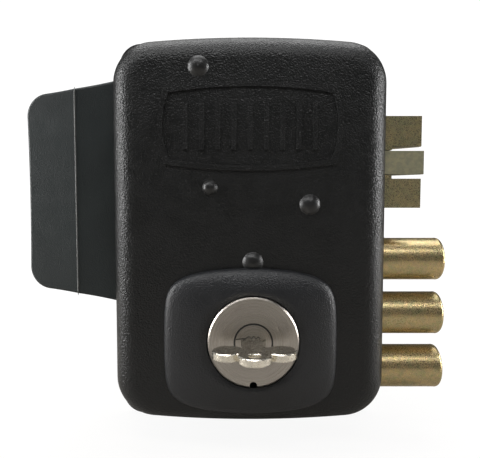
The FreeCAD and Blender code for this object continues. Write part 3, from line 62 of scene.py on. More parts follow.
class Body(Enum):
    """The bodies of the lock that new pieces ride on."""

    CASE = "case"
    PLUG = "plug"
    KEY = "key_piece"
    BOLTS = "bolts"
    LATCH = "latch"
    TRIGGER = "trigger"
    HANDLE = "handle"


class Graph:
    """A small helper that adds and links shader nodes in one tree."""

    def __init__(self, tree: bpy.types.NodeTree) -> None:
        """Keep the tree that nodes go into."""
        self.tree = tree

    def add(self, kind: str, **settings: object) -> bpy.types.Node:
        """Add a node.

        Args:
            kind: Blender's name of the node type.
            settings: Attributes to set on the node.

        Returns:
            The new node.
        """
        node = self.tree.nodes.new(kind)
        for name, value in settings.items():
            setattr(node, name, value)
        return node

    def link(self, source: bpy.types.NodeSocket, target: bpy.types.NodeSocket) -> None:
        """Join an output to an input."""
        self.tree.links.new(source, target)

    def feed(self, node: bpy.types.Node, **values: object) -> None:
        """Set or link inputs of a node by name.

        Args:
            node: The node whose inputs are set.
            values: Input names, with underscores for spaces, and values or sockets.
        """
        for name, value in values.items():
            socket = node.inputs[name.replace("_", " ")]
            if isinstance(value, bpy.types.NodeSocket):
                self.link(value, socket)
            else:
                socket.default_value = value

    def math(self, operation: str, first: object, second: object = 0.0) -> bpy.types.NodeSocket:
        """Combine two values.

        Args:
            operation: Blender's name of the operation.
            first: A number or a socket.
            second: A number or a socket.

        Returns:
            The result's socket.
        """
        node = self.add("ShaderNodeMath", operation=operation)
        for socket, value in zip(node.inputs, (first, second)):
            if isinstance(value, bpy.types.NodeSocket):
                self.link(value, socket)
            else:
                socket.default_value = value
        return node.outputs[0]

    def spread(self, value: object, low: object, high: object, out_low: float = 0.0,
               out_high: float = 1.0) -> bpy.types.NodeSocket:
        """Map a range of values smoothly onto another.

        Args:
            value: The socket to map.
            low: Start of the range read.
            high: End of the range read.
            out_low: Value given at the start.
            out_high: Value given at the end.

        Returns:
            The mapped value's socket.
        """
        node = self.add("ShaderNodeMapRange", interpolation_type="SMOOTHSTEP")
        for index, item in enumerate((value, low, high, out_low, out_high)):
            if isinstance(item, bpy.types.NodeSocket):
                self.link(item, node.inputs[index])
            else:
                node.inputs[index].default_value = item
        return node.outputs[0]

    def blend(self, factor: object, first: object, second: object) -> bpy.types.NodeSocket:
        """Mix two colours.

        Args:
            factor: A number or a socket.
            first: Colour or socket at zero.
            second: Colour or socket at one.

        Returns:
            The mixed colour's socket.
        """
        node = self.add("ShaderNodeMix", data_type="RGBA")
        for index, item in ((0, factor), (6, first), (7, second)):
            if isinstance(item, bpy.types.NodeSocket):
                self.link(item, node.inputs[index])
            elif isinstance(item, tuple):
                node.inputs[index].default_value = (*item[:3], 1.0)
            else:
                node.inputs[index].default_value = item
        return node.outputs[2]


class EffectGroups:
    """Shader node groups that several finishes share, each built once."""

    def __init__(self) -> None:
        """Build every group."""
        self.grain = self._grain()
        self.mottle = self._mottle()
        self.strokes = self._strokes()
        self.rings = self._rings()
        self.wear = self._wear()

    @staticmethod
    def _start(name: str, inputs: dict[str, float], outputs: tuple[str, ...],
               vector: bool = False) -> tuple[Graph, bpy.types.Node, bpy.types.Node]:
        """Start a group.

        Args:
            name: The group's name.
            inputs: Names and default values of its number inputs.
            outputs: Names of its number outputs.
            vector: Whether it also takes a centre point.

        Returns:
            The graph, its input node and its output node.
        """
        tree = bpy.data.node_groups.new(name, "ShaderNodeTree")
        for label, value in inputs.items():
            socket = tree.interface.new_socket(name=label, in_out="INPUT", socket_type="NodeSocketFloat")
            socket.default_value = value
        if vector:
            tree.interface.new_socket(name="Centre", in_out="INPUT", socket_type="NodeSocketVector")
        for label in outputs:
            tree.interface.new_socket(name=label, in_out="OUTPUT", socket_type="NodeSocketFloat")
        graph = Graph(tree)
        return graph, graph.add("NodeGroupInput"), graph.add("NodeGroupOutput")

    def _grain(self) -> bpy.types.NodeTree:
        """Pebbled grain of a powder coat or a moulding.

        Returns:
            A group that gives a height and a fleck mask.
        """
        graph, entry, leave = self._start("PebbleGrain", {"Cell": 0.001, "Soften": 0.5}, ("Height", "Fleck"))
        place = graph.add("ShaderNodeTexCoord").outputs["Object"]
        scale = graph.math("DIVIDE", 1.0, entry.outputs["Cell"])
        warp = graph.add("ShaderNodeTexNoise")
        graph.feed(warp, Vector=place, Scale=graph.math("MULTIPLY", scale, 0.7), Detail=2.0, Roughness=0.6)
        cells = graph.add("ShaderNodeTexVoronoi", feature="SMOOTH_F1")
        graph.feed(cells, Vector=place, Scale=scale, Smoothness=0.6)
        pebble = graph.math("SUBTRACT", 1.0, cells.outputs["Distance"])
        rough = graph.math("MULTIPLY", warp.outputs["Fac"], entry.outputs["Soften"])
        graph.link(graph.math("ADD", pebble, rough), leave.inputs["Height"])
        fine = graph.add("ShaderNodeTexNoise")
        graph.feed(fine, Vector=place, Scale=graph.math("MULTIPLY", scale, 2.6), Detail=1.0)
        graph.link(graph.spread(fine.outputs["Fac"], 0.6, 0.74), leave.inputs["Fleck"])
        return graph.tree

    def _mottle(self) -> bpy.types.NodeTree:
        """Soft clouds at two sizes.

        Returns:
            A group that gives a broad and a fine mask.
        """
        graph, entry, leave = self._start("CloudMottle", {"Size": 0.01, "Contrast": 0.15}, ("Broad", "Fine"))
        place = graph.add("ShaderNodeTexCoord").outputs["Object"]
        scale = graph.math("DIVIDE", 1.0, entry.outputs["Size"])
        low = graph.math("SUBTRACT", 0.5, entry.outputs["Contrast"])
        high = graph.math("ADD", 0.5, entry.outputs["Contrast"])
        for label, factor in (("Broad", 1.0), ("Fine", 5.3)):
            noise = graph.add("ShaderNodeTexNoise")
            graph.feed(noise, Vector=place, Scale=graph.math("MULTIPLY", scale, factor), Detail=4.0,
                       Distortion=0.4)
            graph.link(graph.spread(noise.outputs["Fac"], low, high), leave.inputs[label])
        return graph.tree

    def _strokes(self) -> bpy.types.NodeTree:
        """Fine lines drawn along or across a machined piece.

        Returns:
            A group that gives a line height and a scratch mask.
        """
        graph, entry, leave = self._start(
            "MachinedStrokes", {"Scale X": 1.0, "Scale Y": 1.0, "Scale Z": 1.0}, ("Height", "Scratch"))
        place = graph.add("ShaderNodeTexCoord").outputs["Object"]
        stretch = graph.add("ShaderNodeCombineXYZ")
        for letter in "XYZ":
            graph.link(entry.outputs[f"Scale {letter}"], stretch.inputs[letter])
        spot = graph.add("ShaderNodeVectorMath", operation="MULTIPLY")
        graph.link(place, spot.inputs[0])
        graph.link(stretch.outputs[0], spot.inputs[1])
        lines = graph.add("ShaderNodeTexNoise")
        graph.feed(lines, Vector=spot.outputs[0], Scale=1.0, Detail=3.0, Roughness=0.7)
        graph.link(lines.outputs["Fac"], leave.inputs["Height"])
        graph.link(graph.spread(lines.outputs["Fac"], 0.62, 0.72), leave.inputs["Scratch"])
        return graph.tree

    def _rings(self) -> bpy.types.NodeTree:
        """Turning marks round an axis along Y.

        Returns:
            A group that gives the rings' height and the distance from the axis.
        """
        graph, entry, leave = self._start("TurningRings", {"Pitch": 0.0003}, ("Height", "Radius"),
                                          vector=True)
        place = graph.add("ShaderNodeTexCoord").outputs["Object"]
        away = graph.add("ShaderNodeVectorMath", operation="SUBTRACT")
        graph.link(place, away.inputs[0])
        graph.link(entry.outputs["Centre"], away.inputs[1])
        flat = graph.add("ShaderNodeVectorMath", operation="MULTIPLY")
        graph.link(away.outputs[0], flat.inputs[0])
        flat.inputs[1].default_value = (1.0, 0.0, 1.0)
        length = graph.add("ShaderNodeVectorMath", operation="LENGTH")
        graph.link(flat.outputs[0], length.inputs[0])
        radius = length.outputs["Value"]
        noise = graph.add("ShaderNodeTexNoise", noise_dimensions="1D")
        graph.feed(noise, W=graph.math("DIVIDE", radius, entry.outputs["Pitch"]), Scale=1.0, Detail=2.0)
        graph.link(noise.outputs["Fac"], leave.inputs["Height"])
        graph.link(radius, leave.inputs["Radius"])
        return graph.tree

    def _wear(self) -> bpy.types.NodeTree:
        """A mask of rubbed outer edges.

        Returns:
            A group that gives the mask.
        """
        graph, entry, leave = self._start("RubbedEdges", {"Start": 0.02, "End": 0.16}, ("Mask",))
        rounded = graph.add("ShaderNodeBevel", samples=4)
        graph.feed(rounded, Radius=0.0007)
        compare = graph.add("ShaderNodeVectorMath", operation="DOT_PRODUCT")
        graph.link(rounded.outputs["Normal"], compare.inputs[0])
        graph.link(graph.add("ShaderNodeNewGeometry").outputs["Normal"], compare.inputs[1])
        shape = graph.math("SUBTRACT", 1.0, compare.outputs["Value"])
        place = graph.add("ShaderNodeTexCoord").outputs["Object"]
        noise = graph.add("ShaderNodeTexNoise")
        graph.feed(noise, Vector=place, Scale=700.0, Detail=3.0)
        chips = graph.math("ADD", 0.4, noise.outputs["Fac"])
        broken = graph.math("MULTIPLY", shape, chips)
        graph.link(graph.spread(broken, entry.outputs["Start"], entry.outputs["End"]), leave.inputs["Mask"])
        return graph.tree


EFFECTS = EffectGroups()


@dataclass(frozen=True)
class Finish:
    """A named finish with its own Principled BSDF."""

    name: str
    colour: Colour
    roughness: float = 0.4
    metallic: float = 0.0
    specular: float = 0.5

    def begin(self) -> tuple[bpy.types.Material, Graph, bpy.types.Node]:
        """Start the material.

        Returns:
            The material, its graph and its Principled BSDF.
        """
        material = bpy.data.materials.new(self.name)
        material.use_nodes = True
        graph = Graph(material.node_tree)
        shader = material.node_tree.nodes["Principled BSDF"]
        graph.feed(shader, Metallic=self.metallic, Roughness=self.roughness, Specular_IOR_Level=self.specular)
        shader.inputs["Base Color"].default_value = (*self.colour, 1.0)
        return material, graph, shader

    @staticmethod
    def effect(graph: Graph, group: bpy.types.NodeTree, **values: object) -> bpy.types.Node:
        """Place a shared effect in a material.

        Args:
            graph: The material's graph.
            group: The effect's group.
            values: Values of its inputs.

        Returns:
            The group node.
        """
        node = graph.add("ShaderNodeGroup", node_tree=group)
        graph.feed(node, **values)
        return node

    @staticmethod
    def bump(graph: Graph, shader: bpy.types.Node, height: bpy.types.NodeSocket, depth: float,
             strength: float = 1.0) -> None:
        """Raise a surface by a height.

        Args:
            graph: The material's graph.
            shader: The Principled BSDF.
            height: The height's socket.
            depth: Depth in metres of a height of one.
            strength: Strength of the effect.
        """
        node = graph.add("ShaderNodeBump")
        graph.feed(node, Height=height, Distance=depth, Strength=strength)
        graph.link(node.outputs["Normal"], shader.inputs["Normal"])

    def build(self) -> bpy.types.Material:
        """Build the plain form of the finish with faint mottling.

        Returns:
            The material.
        """
        material, graph, shader = self.begin()
        clouds = self.effect(graph, EFFECTS.mottle, Size=0.004, Contrast=0.2)
        darker = tuple(c * 0.8 for c in self.colour)
        graph.link(graph.blend(clouds.outputs["Broad"], darker, self.colour), shader.inputs["Base Color"])
        rough = graph.spread(clouds.outputs["Fine"], 0.0, 1.0, self.roughness - 0.05, self.roughness + 0.05)
        graph.link(rough, shader.inputs["Roughness"])
        self.bump(graph, shader, clouds.outputs["Fine"], 0.00002)
        return material


@dataclass(frozen=True)
class CoatFinish(Finish):
    """A powder coat or a moulded skin with a pebbled grain."""

    cell: float = 0.0011
    soften: float = 0.5
    depth: float = 0.00012
    fleck: Colour = (0.1, 0.1, 0.1)
    fleck_share: float = 0.25
    rub: Colour = (0.12, 0.12, 0.12)
    rub_share: float = 0.25

    def build(self) -> bpy.types.Material:
        """Build the coat.

        Returns:
            The material.
        """
        material, graph, shader = self.begin()
        grain = self.effect(graph, EFFECTS.grain, Cell=self.cell, Soften=self.soften)
        clouds = self.effect(graph, EFFECTS.mottle, Size=0.03, Contrast=0.2)
        edges = self.effect(graph, EFFECTS.wear)
        lighter = tuple(c * 1.3 for c in self.colour)
        base = graph.blend(clouds.outputs["Broad"], self.colour, lighter)
        specked = graph.blend(graph.math("MULTIPLY", grain.outputs["Fleck"], self.fleck_share), base,
                              self.fleck)
        worn = graph.blend(graph.math("MULTIPLY", edges.outputs["Mask"], self.rub_share), specked, self.rub)
        graph.link(worn, shader.inputs["Base Color"])
        rough = graph.spread(clouds.outputs["Fine"], 0.0, 1.0, self.roughness - 0.03, self.roughness + 0.04)
        graph.link(rough, shader.inputs["Roughness"])
        self.bump(graph, shader, grain.outputs["Height"], self.depth)
        return material


@dataclass(frozen=True)
class ZincFinish(Finish):
    """Passivated zinc plate with clouded tints and machined strokes."""

    tints: tuple[Colour, Colour, Colour] = ((0.5, 0.4, 0.2), (0.4, 0.42, 0.25), (0.5, 0.35, 0.28))
    strokes: tuple[float, float, float] = (2500.0, 120.0, 120.0)
    depth: float = 0.00002

    def build(self) -> bpy.types.Material:
        """Build the plate.

        Returns:
            The material.
        """
        material, graph, shader = self.begin()
        clouds = self.effect(graph, EFFECTS.mottle, Size=0.005, Contrast=0.13)
        specks = self.effect(graph, EFFECTS.mottle, Size=0.0016, Contrast=0.1)
        first, second, third = self.tints
        tone = graph.blend(clouds.outputs["Broad"], first, second)
        tone = graph.blend(graph.math("MULTIPLY", clouds.outputs["Fine"], 0.5), tone, third)
        dull = tuple(c * 0.55 for c in self.colour)
        tone = graph.blend(graph.math("MULTIPLY", specks.outputs["Broad"], 0.35), tone, dull)
        lines = self.effect(graph, EFFECTS.strokes, Scale_X=self.strokes[0], Scale_Y=self.strokes[1],
                            Scale_Z=self.strokes[2])
        tone = graph.blend(graph.math("MULTIPLY", lines.outputs["Scratch"], 0.3), tone, self.colour)
        graph.link(tone, shader.inputs["Base Color"])
        rough = graph.spread(specks.outputs["Fine"], 0.0, 1.0, self.roughness - 0.06, self.roughness + 0.1)
        graph.link(rough, shader.inputs["Roughness"])
        height = graph.math("ADD", lines.outputs["Height"], graph.math("MULTIPLY", specks.outputs["Fine"],
                                                                       0.4))
        self.bump(graph, shader, height, self.depth)
        return material


@dataclass(frozen=True)
class TurnedFinish(Finish):
    """Nickel with turning marks round the cylinder's axis."""

    centre: Point = (0.0, 0.0, 0.0)
    pitch: float = 0.00012
    depth: float = 0.00003

    def build(self) -> bpy.types.Material:
        """Build the turned metal.

        Returns:
            The material.
        """
        material, graph, shader = self.begin()
        rings = self.effect(graph, EFFECTS.rings, Pitch=self.pitch)
        rings.inputs["Centre"].default_value = self.centre
        clouds = self.effect(graph, EFFECTS.mottle, Size=0.006, Contrast=0.2)
        darker = tuple(c * 0.72 for c in self.colour)
        tone = graph.blend(graph.spread(rings.outputs["Height"], 0.35, 0.65), darker, self.colour)
        graph.link(graph.blend(graph.math("MULTIPLY", clouds.outputs["Broad"], 0.2), tone, darker),
                   shader.inputs["Base Color"])
        rough = graph.spread(rings.outputs["Height"], 0.3, 0.7, self.roughness - 0.06, self.roughness + 0.08)
        graph.link(rough, shader.inputs["Roughness"])
        self.bump(graph, shader, rings.outputs["Height"], self.depth)
        return material


def tint_slot(name: str, finish: bpy.types.Material) -> None:
    """Give a CAD node a finish in every material slot.

    Args:
        name: The node's name.
        finish: The material to assign.
    """
    node = bpy.data.objects[name]
    for index in range(len(node.material_slots)):
        node.material_slots[index].material = finish
    LOG.info("dressed %s with %s", name, finish.name)


@dataclass
class SubAssembly:
    """A group of CAD nodes that share finishes, with the pieces added to them."""

    title: str
    finishes: dict[str, Finish] = field(default_factory=dict)

    def dress(self) -> None:
        """Assign each node's finish."""
        for node, finish in self.finishes.items():
            tint_slot(node, MATERIALS.get(finish))
        LOG.info("finished %s", self.title)


class MaterialStore:
    """Keeps one material for each finish."""

    def __init__(self) -> None:
        """Start with no materials."""
        self._made: dict[Finish, bpy.types.Material] = {}

    def get(self, finish: Finish) -> bpy.types.Material:
        """The material of a finish, built on first use."""
        if finish not in self._made:
            self._made[finish] = finish.build()
        return self._made[finish]


MATERIALS = MaterialStore()


def shown_mesh(name: str, verts: list[Vector], faces: list[tuple[int, ...]],
               finish: Finish) -> bpy.types.Object:
    """Add a mesh object.

    Args:
        name: The object's name.
        verts: Points in the row frame, in metres.
        faces: Corner numbers of each face.
        finish: The finish it takes.

    Returns:
        The new object.
    """
    mesh = bpy.data.meshes.new(name)
    mesh.from_pydata(verts, [], faces)
    mesh.update()
    obj = bpy.data.objects.new(name, mesh)
    bpy.context.scene.collection.objects.link(obj)
    mesh.materials.append(MATERIALS.get(finish))
    return obj


@dataclass
class WireSpring:
    """A wire spring along X, wound once in the place of its CAD node."""

    node: str
    name: str
    turns: int
    wire: float
    body: Body
    joint: str
    seat_x: float
    travel: float
    finish: Finish

    def build(self) -> bpy.types.Object:
        """Wind the spring in the place of its CAD node.

        Returns:
            The spring's mesh object.
        """
        low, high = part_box(self.node)
        middle = (low + high) / 2.0
        coil = (high.y - low.y) / 2.0 - self.wire
        start, end = low.x + self.wire, high.x - self.wire
        around, steps = 10, self.turns * 40
        verts: list[Vector] = []
        for step in range(steps + 1):
            turn = 2.0 * math.pi * self.turns * step / steps
            outward = Vector((0.0, math.cos(turn), math.sin(turn)))
            spot = Vector((start + (end - start) * step / steps, middle.y, middle.z)) + outward * coil
            for part in range(around):
                angle = 2.0 * math.pi * part / around
                reach = outward * math.cos(angle) + Vector((1.0, 0.0, 0.0)) * math.sin(angle)
                verts.append(spot + reach * self.wire)
        faces: list[tuple[int, ...]] = [tuple(range(around)), tuple(range(steps * around,
                                                                          (steps + 1) * around))[::-1]]
        for step in range(steps):
            for part in range(around):
                after = (part + 1) % around
                a, b = step * around, (step + 1) * around
                faces.append((a + part, b + part, b + after, a + after))
        spring = shown_mesh(self.name, verts, faces, self.finish)
        spring.data.polygons.foreach_set("use_smooth", [True] * len(faces))
        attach(spring, self.body.value)
        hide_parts(self.node)
        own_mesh(spring)
        return spring


@dataclass
class CaseAssembly(SubAssembly):
    """The base plate, the front cover and what holds them together."""

    cover: CoatFinish = CoatFinish(
        "cover_powder_coat", (0.0035, 0.0038, 0.004), 0.38, specular=0.42, cell=0.00055, depth=0.00016,
        fleck=(0.075, 0.078, 0.075), rub=(0.05, 0.05, 0.05))
    plate: CoatFinish = CoatFinish(
        "plate_black", (0.007, 0.007, 0.007), 0.45, cell=0.0006, depth=0.00004, fleck=(0.03, 0.03, 0.03))
    heads: CoatFinish = CoatFinish(
        "post_heads", (0.006, 0.006, 0.006), 0.36, cell=0.0005, depth=0.00003, fleck=(0.03, 0.03, 0.03))
    steel: Finish = Finish("bright_steel", (0.5, 0.5, 0.5), 0.3, 1.0)
    rubber: Finish = Finish("grommet_rubber", (0.01, 0.01, 0.01), 0.6)

    def build(self) -> None:
        """List the finish of each node of the case."""
        self.finishes = {
            "front_cover": self.cover,
            "base_plate": self.plate,
            "cover_posts": self.heads,
            "post_screws": self.steel,
            "cable_grommet": self.rubber,
        }
        self.dress()


@dataclass
class CylinderAssembly(SubAssembly):
    """The escutcheon, the lock cylinder and its key."""

    axis: tuple[float, float] = (1.1 * MM, -35.3 * MM)
    gap_inner: float = 6.15 * MM
    gap_outer: float = 6.75 * MM
    gap_lift: float = 0.02 * MM
    key_lobes: tuple[Colour, ...] = ((0.0, 3.9 * MM, 5.5 * MM), (-8.6 * MM, -0.4 * MM, 4.9 * MM),
                                     (8.6 * MM, -0.4 * MM, 4.9 * MM), (0.0, 0.0, 4.4 * MM))
    blade_half: float = 4.0 * MM
    blade_length: float = 36.5 * MM
    key_half: float = 1.3 * MM
    key_round: float = 0.3 * MM
    ring_hole: float = 2.2 * MM
    rose_centre: tuple[float, float] = (0.1 * MM, -36.2 * MM)
    rose_half: tuple[float, float] = (30.5 * MM, 25.9 * MM)
    shield: CoatFinish = CoatFinish("escutcheon_black", (0.0095, 0.0103, 0.012), 0.4, specular=0.5,
                                    cell=0.0005, soften=0.6, depth=0.00012, fleck=(0.06, 0.06, 0.065),
                                    fleck_share=0.2)
    nickel: TurnedFinish = TurnedFinish(
        "satin_nickel", (0.46, 0.425, 0.385), 0.3, 1.0, centre=(1.1 * MM, 0.0, -35.3 * MM), pitch=0.00014)
    key_metal: ZincFinish = ZincFinish(
        "key_nickel", (0.9, 0.86, 0.78), 0.2, 1.0,
        tints=((0.88, 0.83, 0.72), (0.78, 0.74, 0.64), (0.85, 0.77, 0.66)), strokes=(200.0, 1800.0, 200.0))
    # Painted shade: a near-black finish for the thin sheets that stand for the shade inside the plug's gap
    # and the open keyway.
    dark: Finish = Finish("gap_shadow", (0.004, 0.004, 0.004), 0.7)

    def build(self) -> None:
        """Dress the cylinder and paint shade into the gap round its plug."""
        self.finishes = {
            "escutcheon": self.shield,
            "cylinder_body": self.nickel,
            "cylinder_plug": self.nickel,
            "cylinder_nut": self.nickel,
            "key": self.key_metal,
        }
        self.dress()
        self.domed_rose()
        self.lobed_key()
        self.gap_shade_ring()
        self.keyway_shade_line()

    def rose_reach(self, turn: float) -> float:
        """Distance from the cylinder's axis to the rose's edge at an angle.

        Args:
            turn: The angle in radians, from the x direction.

        Returns:
            The distance in metres.
        """
        middle_x, middle_z = self.rose_centre
        across, up = math.cos(turn), math.sin(turn)
        reach = 20.0 * MM
        for _ in range(60):
            x = self.axis[0] + reach * across - middle_x
            z = self.axis[1] + reach * up - middle_z
            half_x, half_z = self.rose_half
            bow_x = 1.0 - 0.045 * (z / half_z) ** 2
            bow_z = 1.0 - 0.17 * (x / half_x) ** 2
            spread = (abs(x) / (half_x * bow_x)) ** 7 + (abs(z) / (half_z * bow_z)) ** 7
            reach /= spread ** (1.0 / 7.0)
        return reach

    def domed_rose(self) -> None:
        """Add the pillow-shaped rose that stands for the plain CAD one."""
        front, foot = -43.4 * MM, -37.98 * MM
        inner = 16.05 * MM
        count = 240
        steps = [(0.0, foot + 0.2 * MM), (0.0, front + 0.35 * MM), (0.015, front), (0.2, front + 0.12 * MM),
                 (0.4, front + 0.5 * MM), (0.6, front + 1.1 * MM), (0.78, front + 1.85 * MM),
                 (0.9, front + 2.6 * MM), (0.965, front + 3.4 * MM), (0.99, front + 4.2 * MM), (1.0, foot)]
        verts: list[Vector] = []
        for share, depth in steps:
            for step in range(count):
                turn = 2.0 * math.pi * step / count
                radius = inner + (self.rose_reach(turn) - inner) * share
                x = self.axis[0] + radius * math.cos(turn)
                verts.append(Vector((x, depth, self.axis[1] + radius * math.sin(turn))))
        faces: list[tuple[int, ...]] = []
        for row in range(len(steps) - 1):
            for step in range(count):
                after = (step + 1) % count
                a, b = row * count, (row + 1) * count
                faces.append((a + step, a + after, b + after, b + step))
        rose = shown_mesh("domed_rose", verts, faces, self.shield)
        rose.data.polygons.foreach_set("use_smooth", [True] * len(faces))
        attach(rose, Body.CASE.value)
        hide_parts("escutcheon")

    def key_reach(self, turn: float) -> float:
        """Distance from the bow's middle to the key's edge at an angle.

        Args:
            turn: The angle in radians, from across the key.

        Returns:
            The distance in metres.
        """
        across, along = math.cos(turn), math.sin(turn)
        reach = 0.0
        for x, y, radius in self.key_lobes:
            near = x * across + y * along
            inside = near * near - (x * x + y * y) + radius * radius
            if inside > 0.0:
                reach = max(reach, near + math.sqrt(inside))
        blade = self.blade_half / max(abs(across), 1e-6)
        if along < 0.0:
            blade = min(blade, self.blade_length / max(-along, 1e-6))
            depth = blade * -along
            if across > 0.0 and 12.0 * MM < depth < self.blade_length - 2.0 * MM:
                blade *= 1.0 - 0.16 * (1.0 + math.sin(depth / (0.66 * MM)))
            reach = max(reach, blade)
        return reach

    def lobed_key(self) -> None:
        """Add the key with its three round lobes, which stands for the plain CAD one."""
        middle_depth = 56.9 * MM
        x0, z0 = self.axis
        count = 720
        loop: list[Vector] = []
        for step in range(count):
            turn = 2.0 * math.pi * (step + 0.5) / count
            reach = self.key_reach(turn)
            loop.append(Vector((reach * math.cos(turn), reach * math.sin(turn), 0.0)))
        hole = [Vector((0.0, 5.4 * MM, 0.0)) + Vector((math.cos(a), math.sin(a), 0.0)) * self.ring_hole
                for a in (2.0 * math.pi * step / 64 for step in range(64))]
        verts: list[Vector] = []
        faces: list[tuple[int, ...]] = []
        rims: list[list[int]] = []
        for outline, inward in ((loop, -1.0), (hole, 1.0)):
            size = len(outline)
            layers: list[list[int]] = []
            for lift, inset in ((-1.0, 1.0), (-0.72, 0.0), (0.72, 0.0), (1.0, 1.0)):
                layer: list[int] = []
                for step, point in enumerate(outline):
                    along = (outline[(step + 3) % size] - outline[step - 3]).normalized()
                    side = Vector((along.y, -along.x, 0.0)) * (self.key_round * inset * inward)
                    shifted = point + side
                    layer.append(len(verts))
                    verts.append(Vector((x0 + shifted.x, -middle_depth - shifted.y,
                                         z0 + lift * self.key_half)))
                layers.append(layer)
            for lower, upper in zip(layers, layers[1:]):
                for step in range(size):
                    after = (step + 1) % size
                    quad = (lower[step], lower[after], upper[after], upper[step])
                    faces.append(quad if inward > 0.0 else quad[::-1])
            rims.append(layers[0])
            rims.append(layers[-1])
        centre = Vector((x0, -middle_depth - 5.4 * MM))
        for outer, inner, flip in ((rims[0], rims[2], False), (rims[1], rims[3], True)):
            marks = outer + inner
            flat = [Vector((verts[i].x, verts[i].y)) for i in marks]
            rings = [list(range(len(outer))), list(range(len(outer), len(marks)))]
            found = delaunay_2d_cdt(flat, [], rings, 1, 1e-9)
            for face in found[2]:
                if len(face) != 3:
                    continue
                mid = sum((found[0][i] for i in face), Vector((0.0, 0.0))) / 3.0
                if (mid - centre).length < self.ring_hole:
                    continue
                if any(not found[3][i] for i in face):
                    continue
                named = tuple(marks[found[3][i][0]] for i in face)
                faces.append(named[::-1] if flip else named)
        key = shown_mesh("lobed_key", verts, faces, self.key_metal)
        sharp = bmesh.new()
        sharp.from_mesh(key.data)
        bmesh.ops.recalc_face_normals(sharp, faces=sharp.faces)
        sharp.to_mesh(key.data)
        sharp.free()
        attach(key, Body.KEY.value)
        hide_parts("key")

    def gap_shade_ring(self) -> None:
        """Add the dark ring of painted shade in the gap between the plug and the cylinder's face."""
        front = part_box("cylinder_body")[0].y - self.gap_lift
        x, z = self.axis
        count = 96
        verts: list[Vector] = []
        for radius in (self.gap_inner, self.gap_outer):
            for step in range(count):
                turn = 2.0 * math.pi * step / count
                verts.append(Vector((x + radius * math.cos(turn), front, z + radius * math.sin(turn))))
        faces = [(i, (i + 1) % count, count + (i + 1) % count, count + i) for i in range(count)]
        # Painted shade: a flat dark ring just in front of the cylinder's face, where the thin gap round the
        # plug is in shade.
        ring = shown_mesh("plug_gap_shade_ring", verts, faces, self.dark)
        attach(ring, Body.CASE.value)

    def keyway_shade_line(self) -> None:
        """Add the stepped keyway line of painted shade, where the open keyway shows beside the key."""
        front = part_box("cylinder_plug")[0].y - self.gap_lift
        x, z = self.axis
        path = [(-6.0, 1.3), (-4.1, 1.5), (-2.9, 1.5), (-1.5, 2.3), (-0.7, 1.5), (0.1, 2.4), (0.9, 1.5),
                (1.6, 2.2), (2.4, 1.5)]
        verts: list[Vector] = []
        for across, up in path:
            verts.append(Vector((x + across * MM, front, z + (up - 0.17) * MM)))
            verts.append(Vector((x + across * MM, front, z + (up + 0.17) * MM)))
        faces = [(2 * i, 2 * i + 1, 2 * i + 3, 2 * i + 2) for i in range(len(path) - 1)]
        # Painted shade: a dark strip on the plug's face for the shade inside the open keyway.
        line = shown_mesh("keyway_shade_line", verts, faces, self.dark)
        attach(line, Body.PLUG.value)


@dataclass
class BoltAssembly(SubAssembly):
    """The three round bolts and the gear train that throws them."""

    zinc: ZincFinish = ZincFinish(
        "yellow_zinc", (0.62, 0.56, 0.36), 0.3, 0.9,
        tints=((0.56, 0.43, 0.2), (0.42, 0.38, 0.18), (0.6, 0.4, 0.24)), strokes=(3000.0, 160.0, 160.0))
    steel: Finish = Finish("gear_steel", (0.45, 0.44, 0.42), 0.34, 1.0)

    def build(self) -> None:
        """Dress the bolts, the gears and the bar."""
        self.finishes = {
            "dead_bolts": self.zinc,
            "bolt_bar": self.zinc,
            "bolt_slide": self.zinc,
            "bolt_guide": self.zinc,
            "drive_pinion": self.steel,
            "idler_gear": self.steel,
            "idler_stud": self.steel,
            "slide_stud": self.steel,
            "guide_screws": self.steel,
        }
        self.dress()


@dataclass
class LatchAssembly(SubAssembly):
    """The forked latch with its trigger and springs."""

    zinc: ZincFinish = ZincFinish(
        "latch_zinc", (0.6, 0.56, 0.38), 0.32, 0.9,
        tints=((0.54, 0.46, 0.24), (0.42, 0.4, 0.22), (0.52, 0.4, 0.25)), strokes=(400.0, 400.0, 2200.0))
    grey: ZincFinish = ZincFinish(
        "grey_zinc", (0.55, 0.54, 0.45), 0.38, 0.85,
        tints=((0.62, 0.59, 0.38), (0.52, 0.51, 0.34), (0.58, 0.52, 0.35)), strokes=(400.0, 400.0, 2200.0))
    steel: Finish = Finish("spring_steel", (0.5, 0.5, 0.5), 0.28, 1.0)

    def build(self) -> None:
        """Dress the latch."""
        self.finishes = {
            "latch_fork": self.zinc,
            "latch_tail": self.zinc,
            "latch_trigger": self.grey,
            "latch_spring": self.steel,
            "trigger_spring": self.steel,
            "spring_bracket": self.grey,
        }
        self.dress()
        WireSpring("latch_spring", "latch_return_spring", 7, 0.5 * MM, Body.CASE, "latch_draw",
                   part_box("latch_spring")[0].x, 11.3 * MM, self.steel).build()
        WireSpring("trigger_spring", "trigger_return_spring", 5, 0.42 * MM, Body.LATCH, "trigger_press",
                   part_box("trigger_spring")[0].x, 5.1 * MM, self.steel).build()


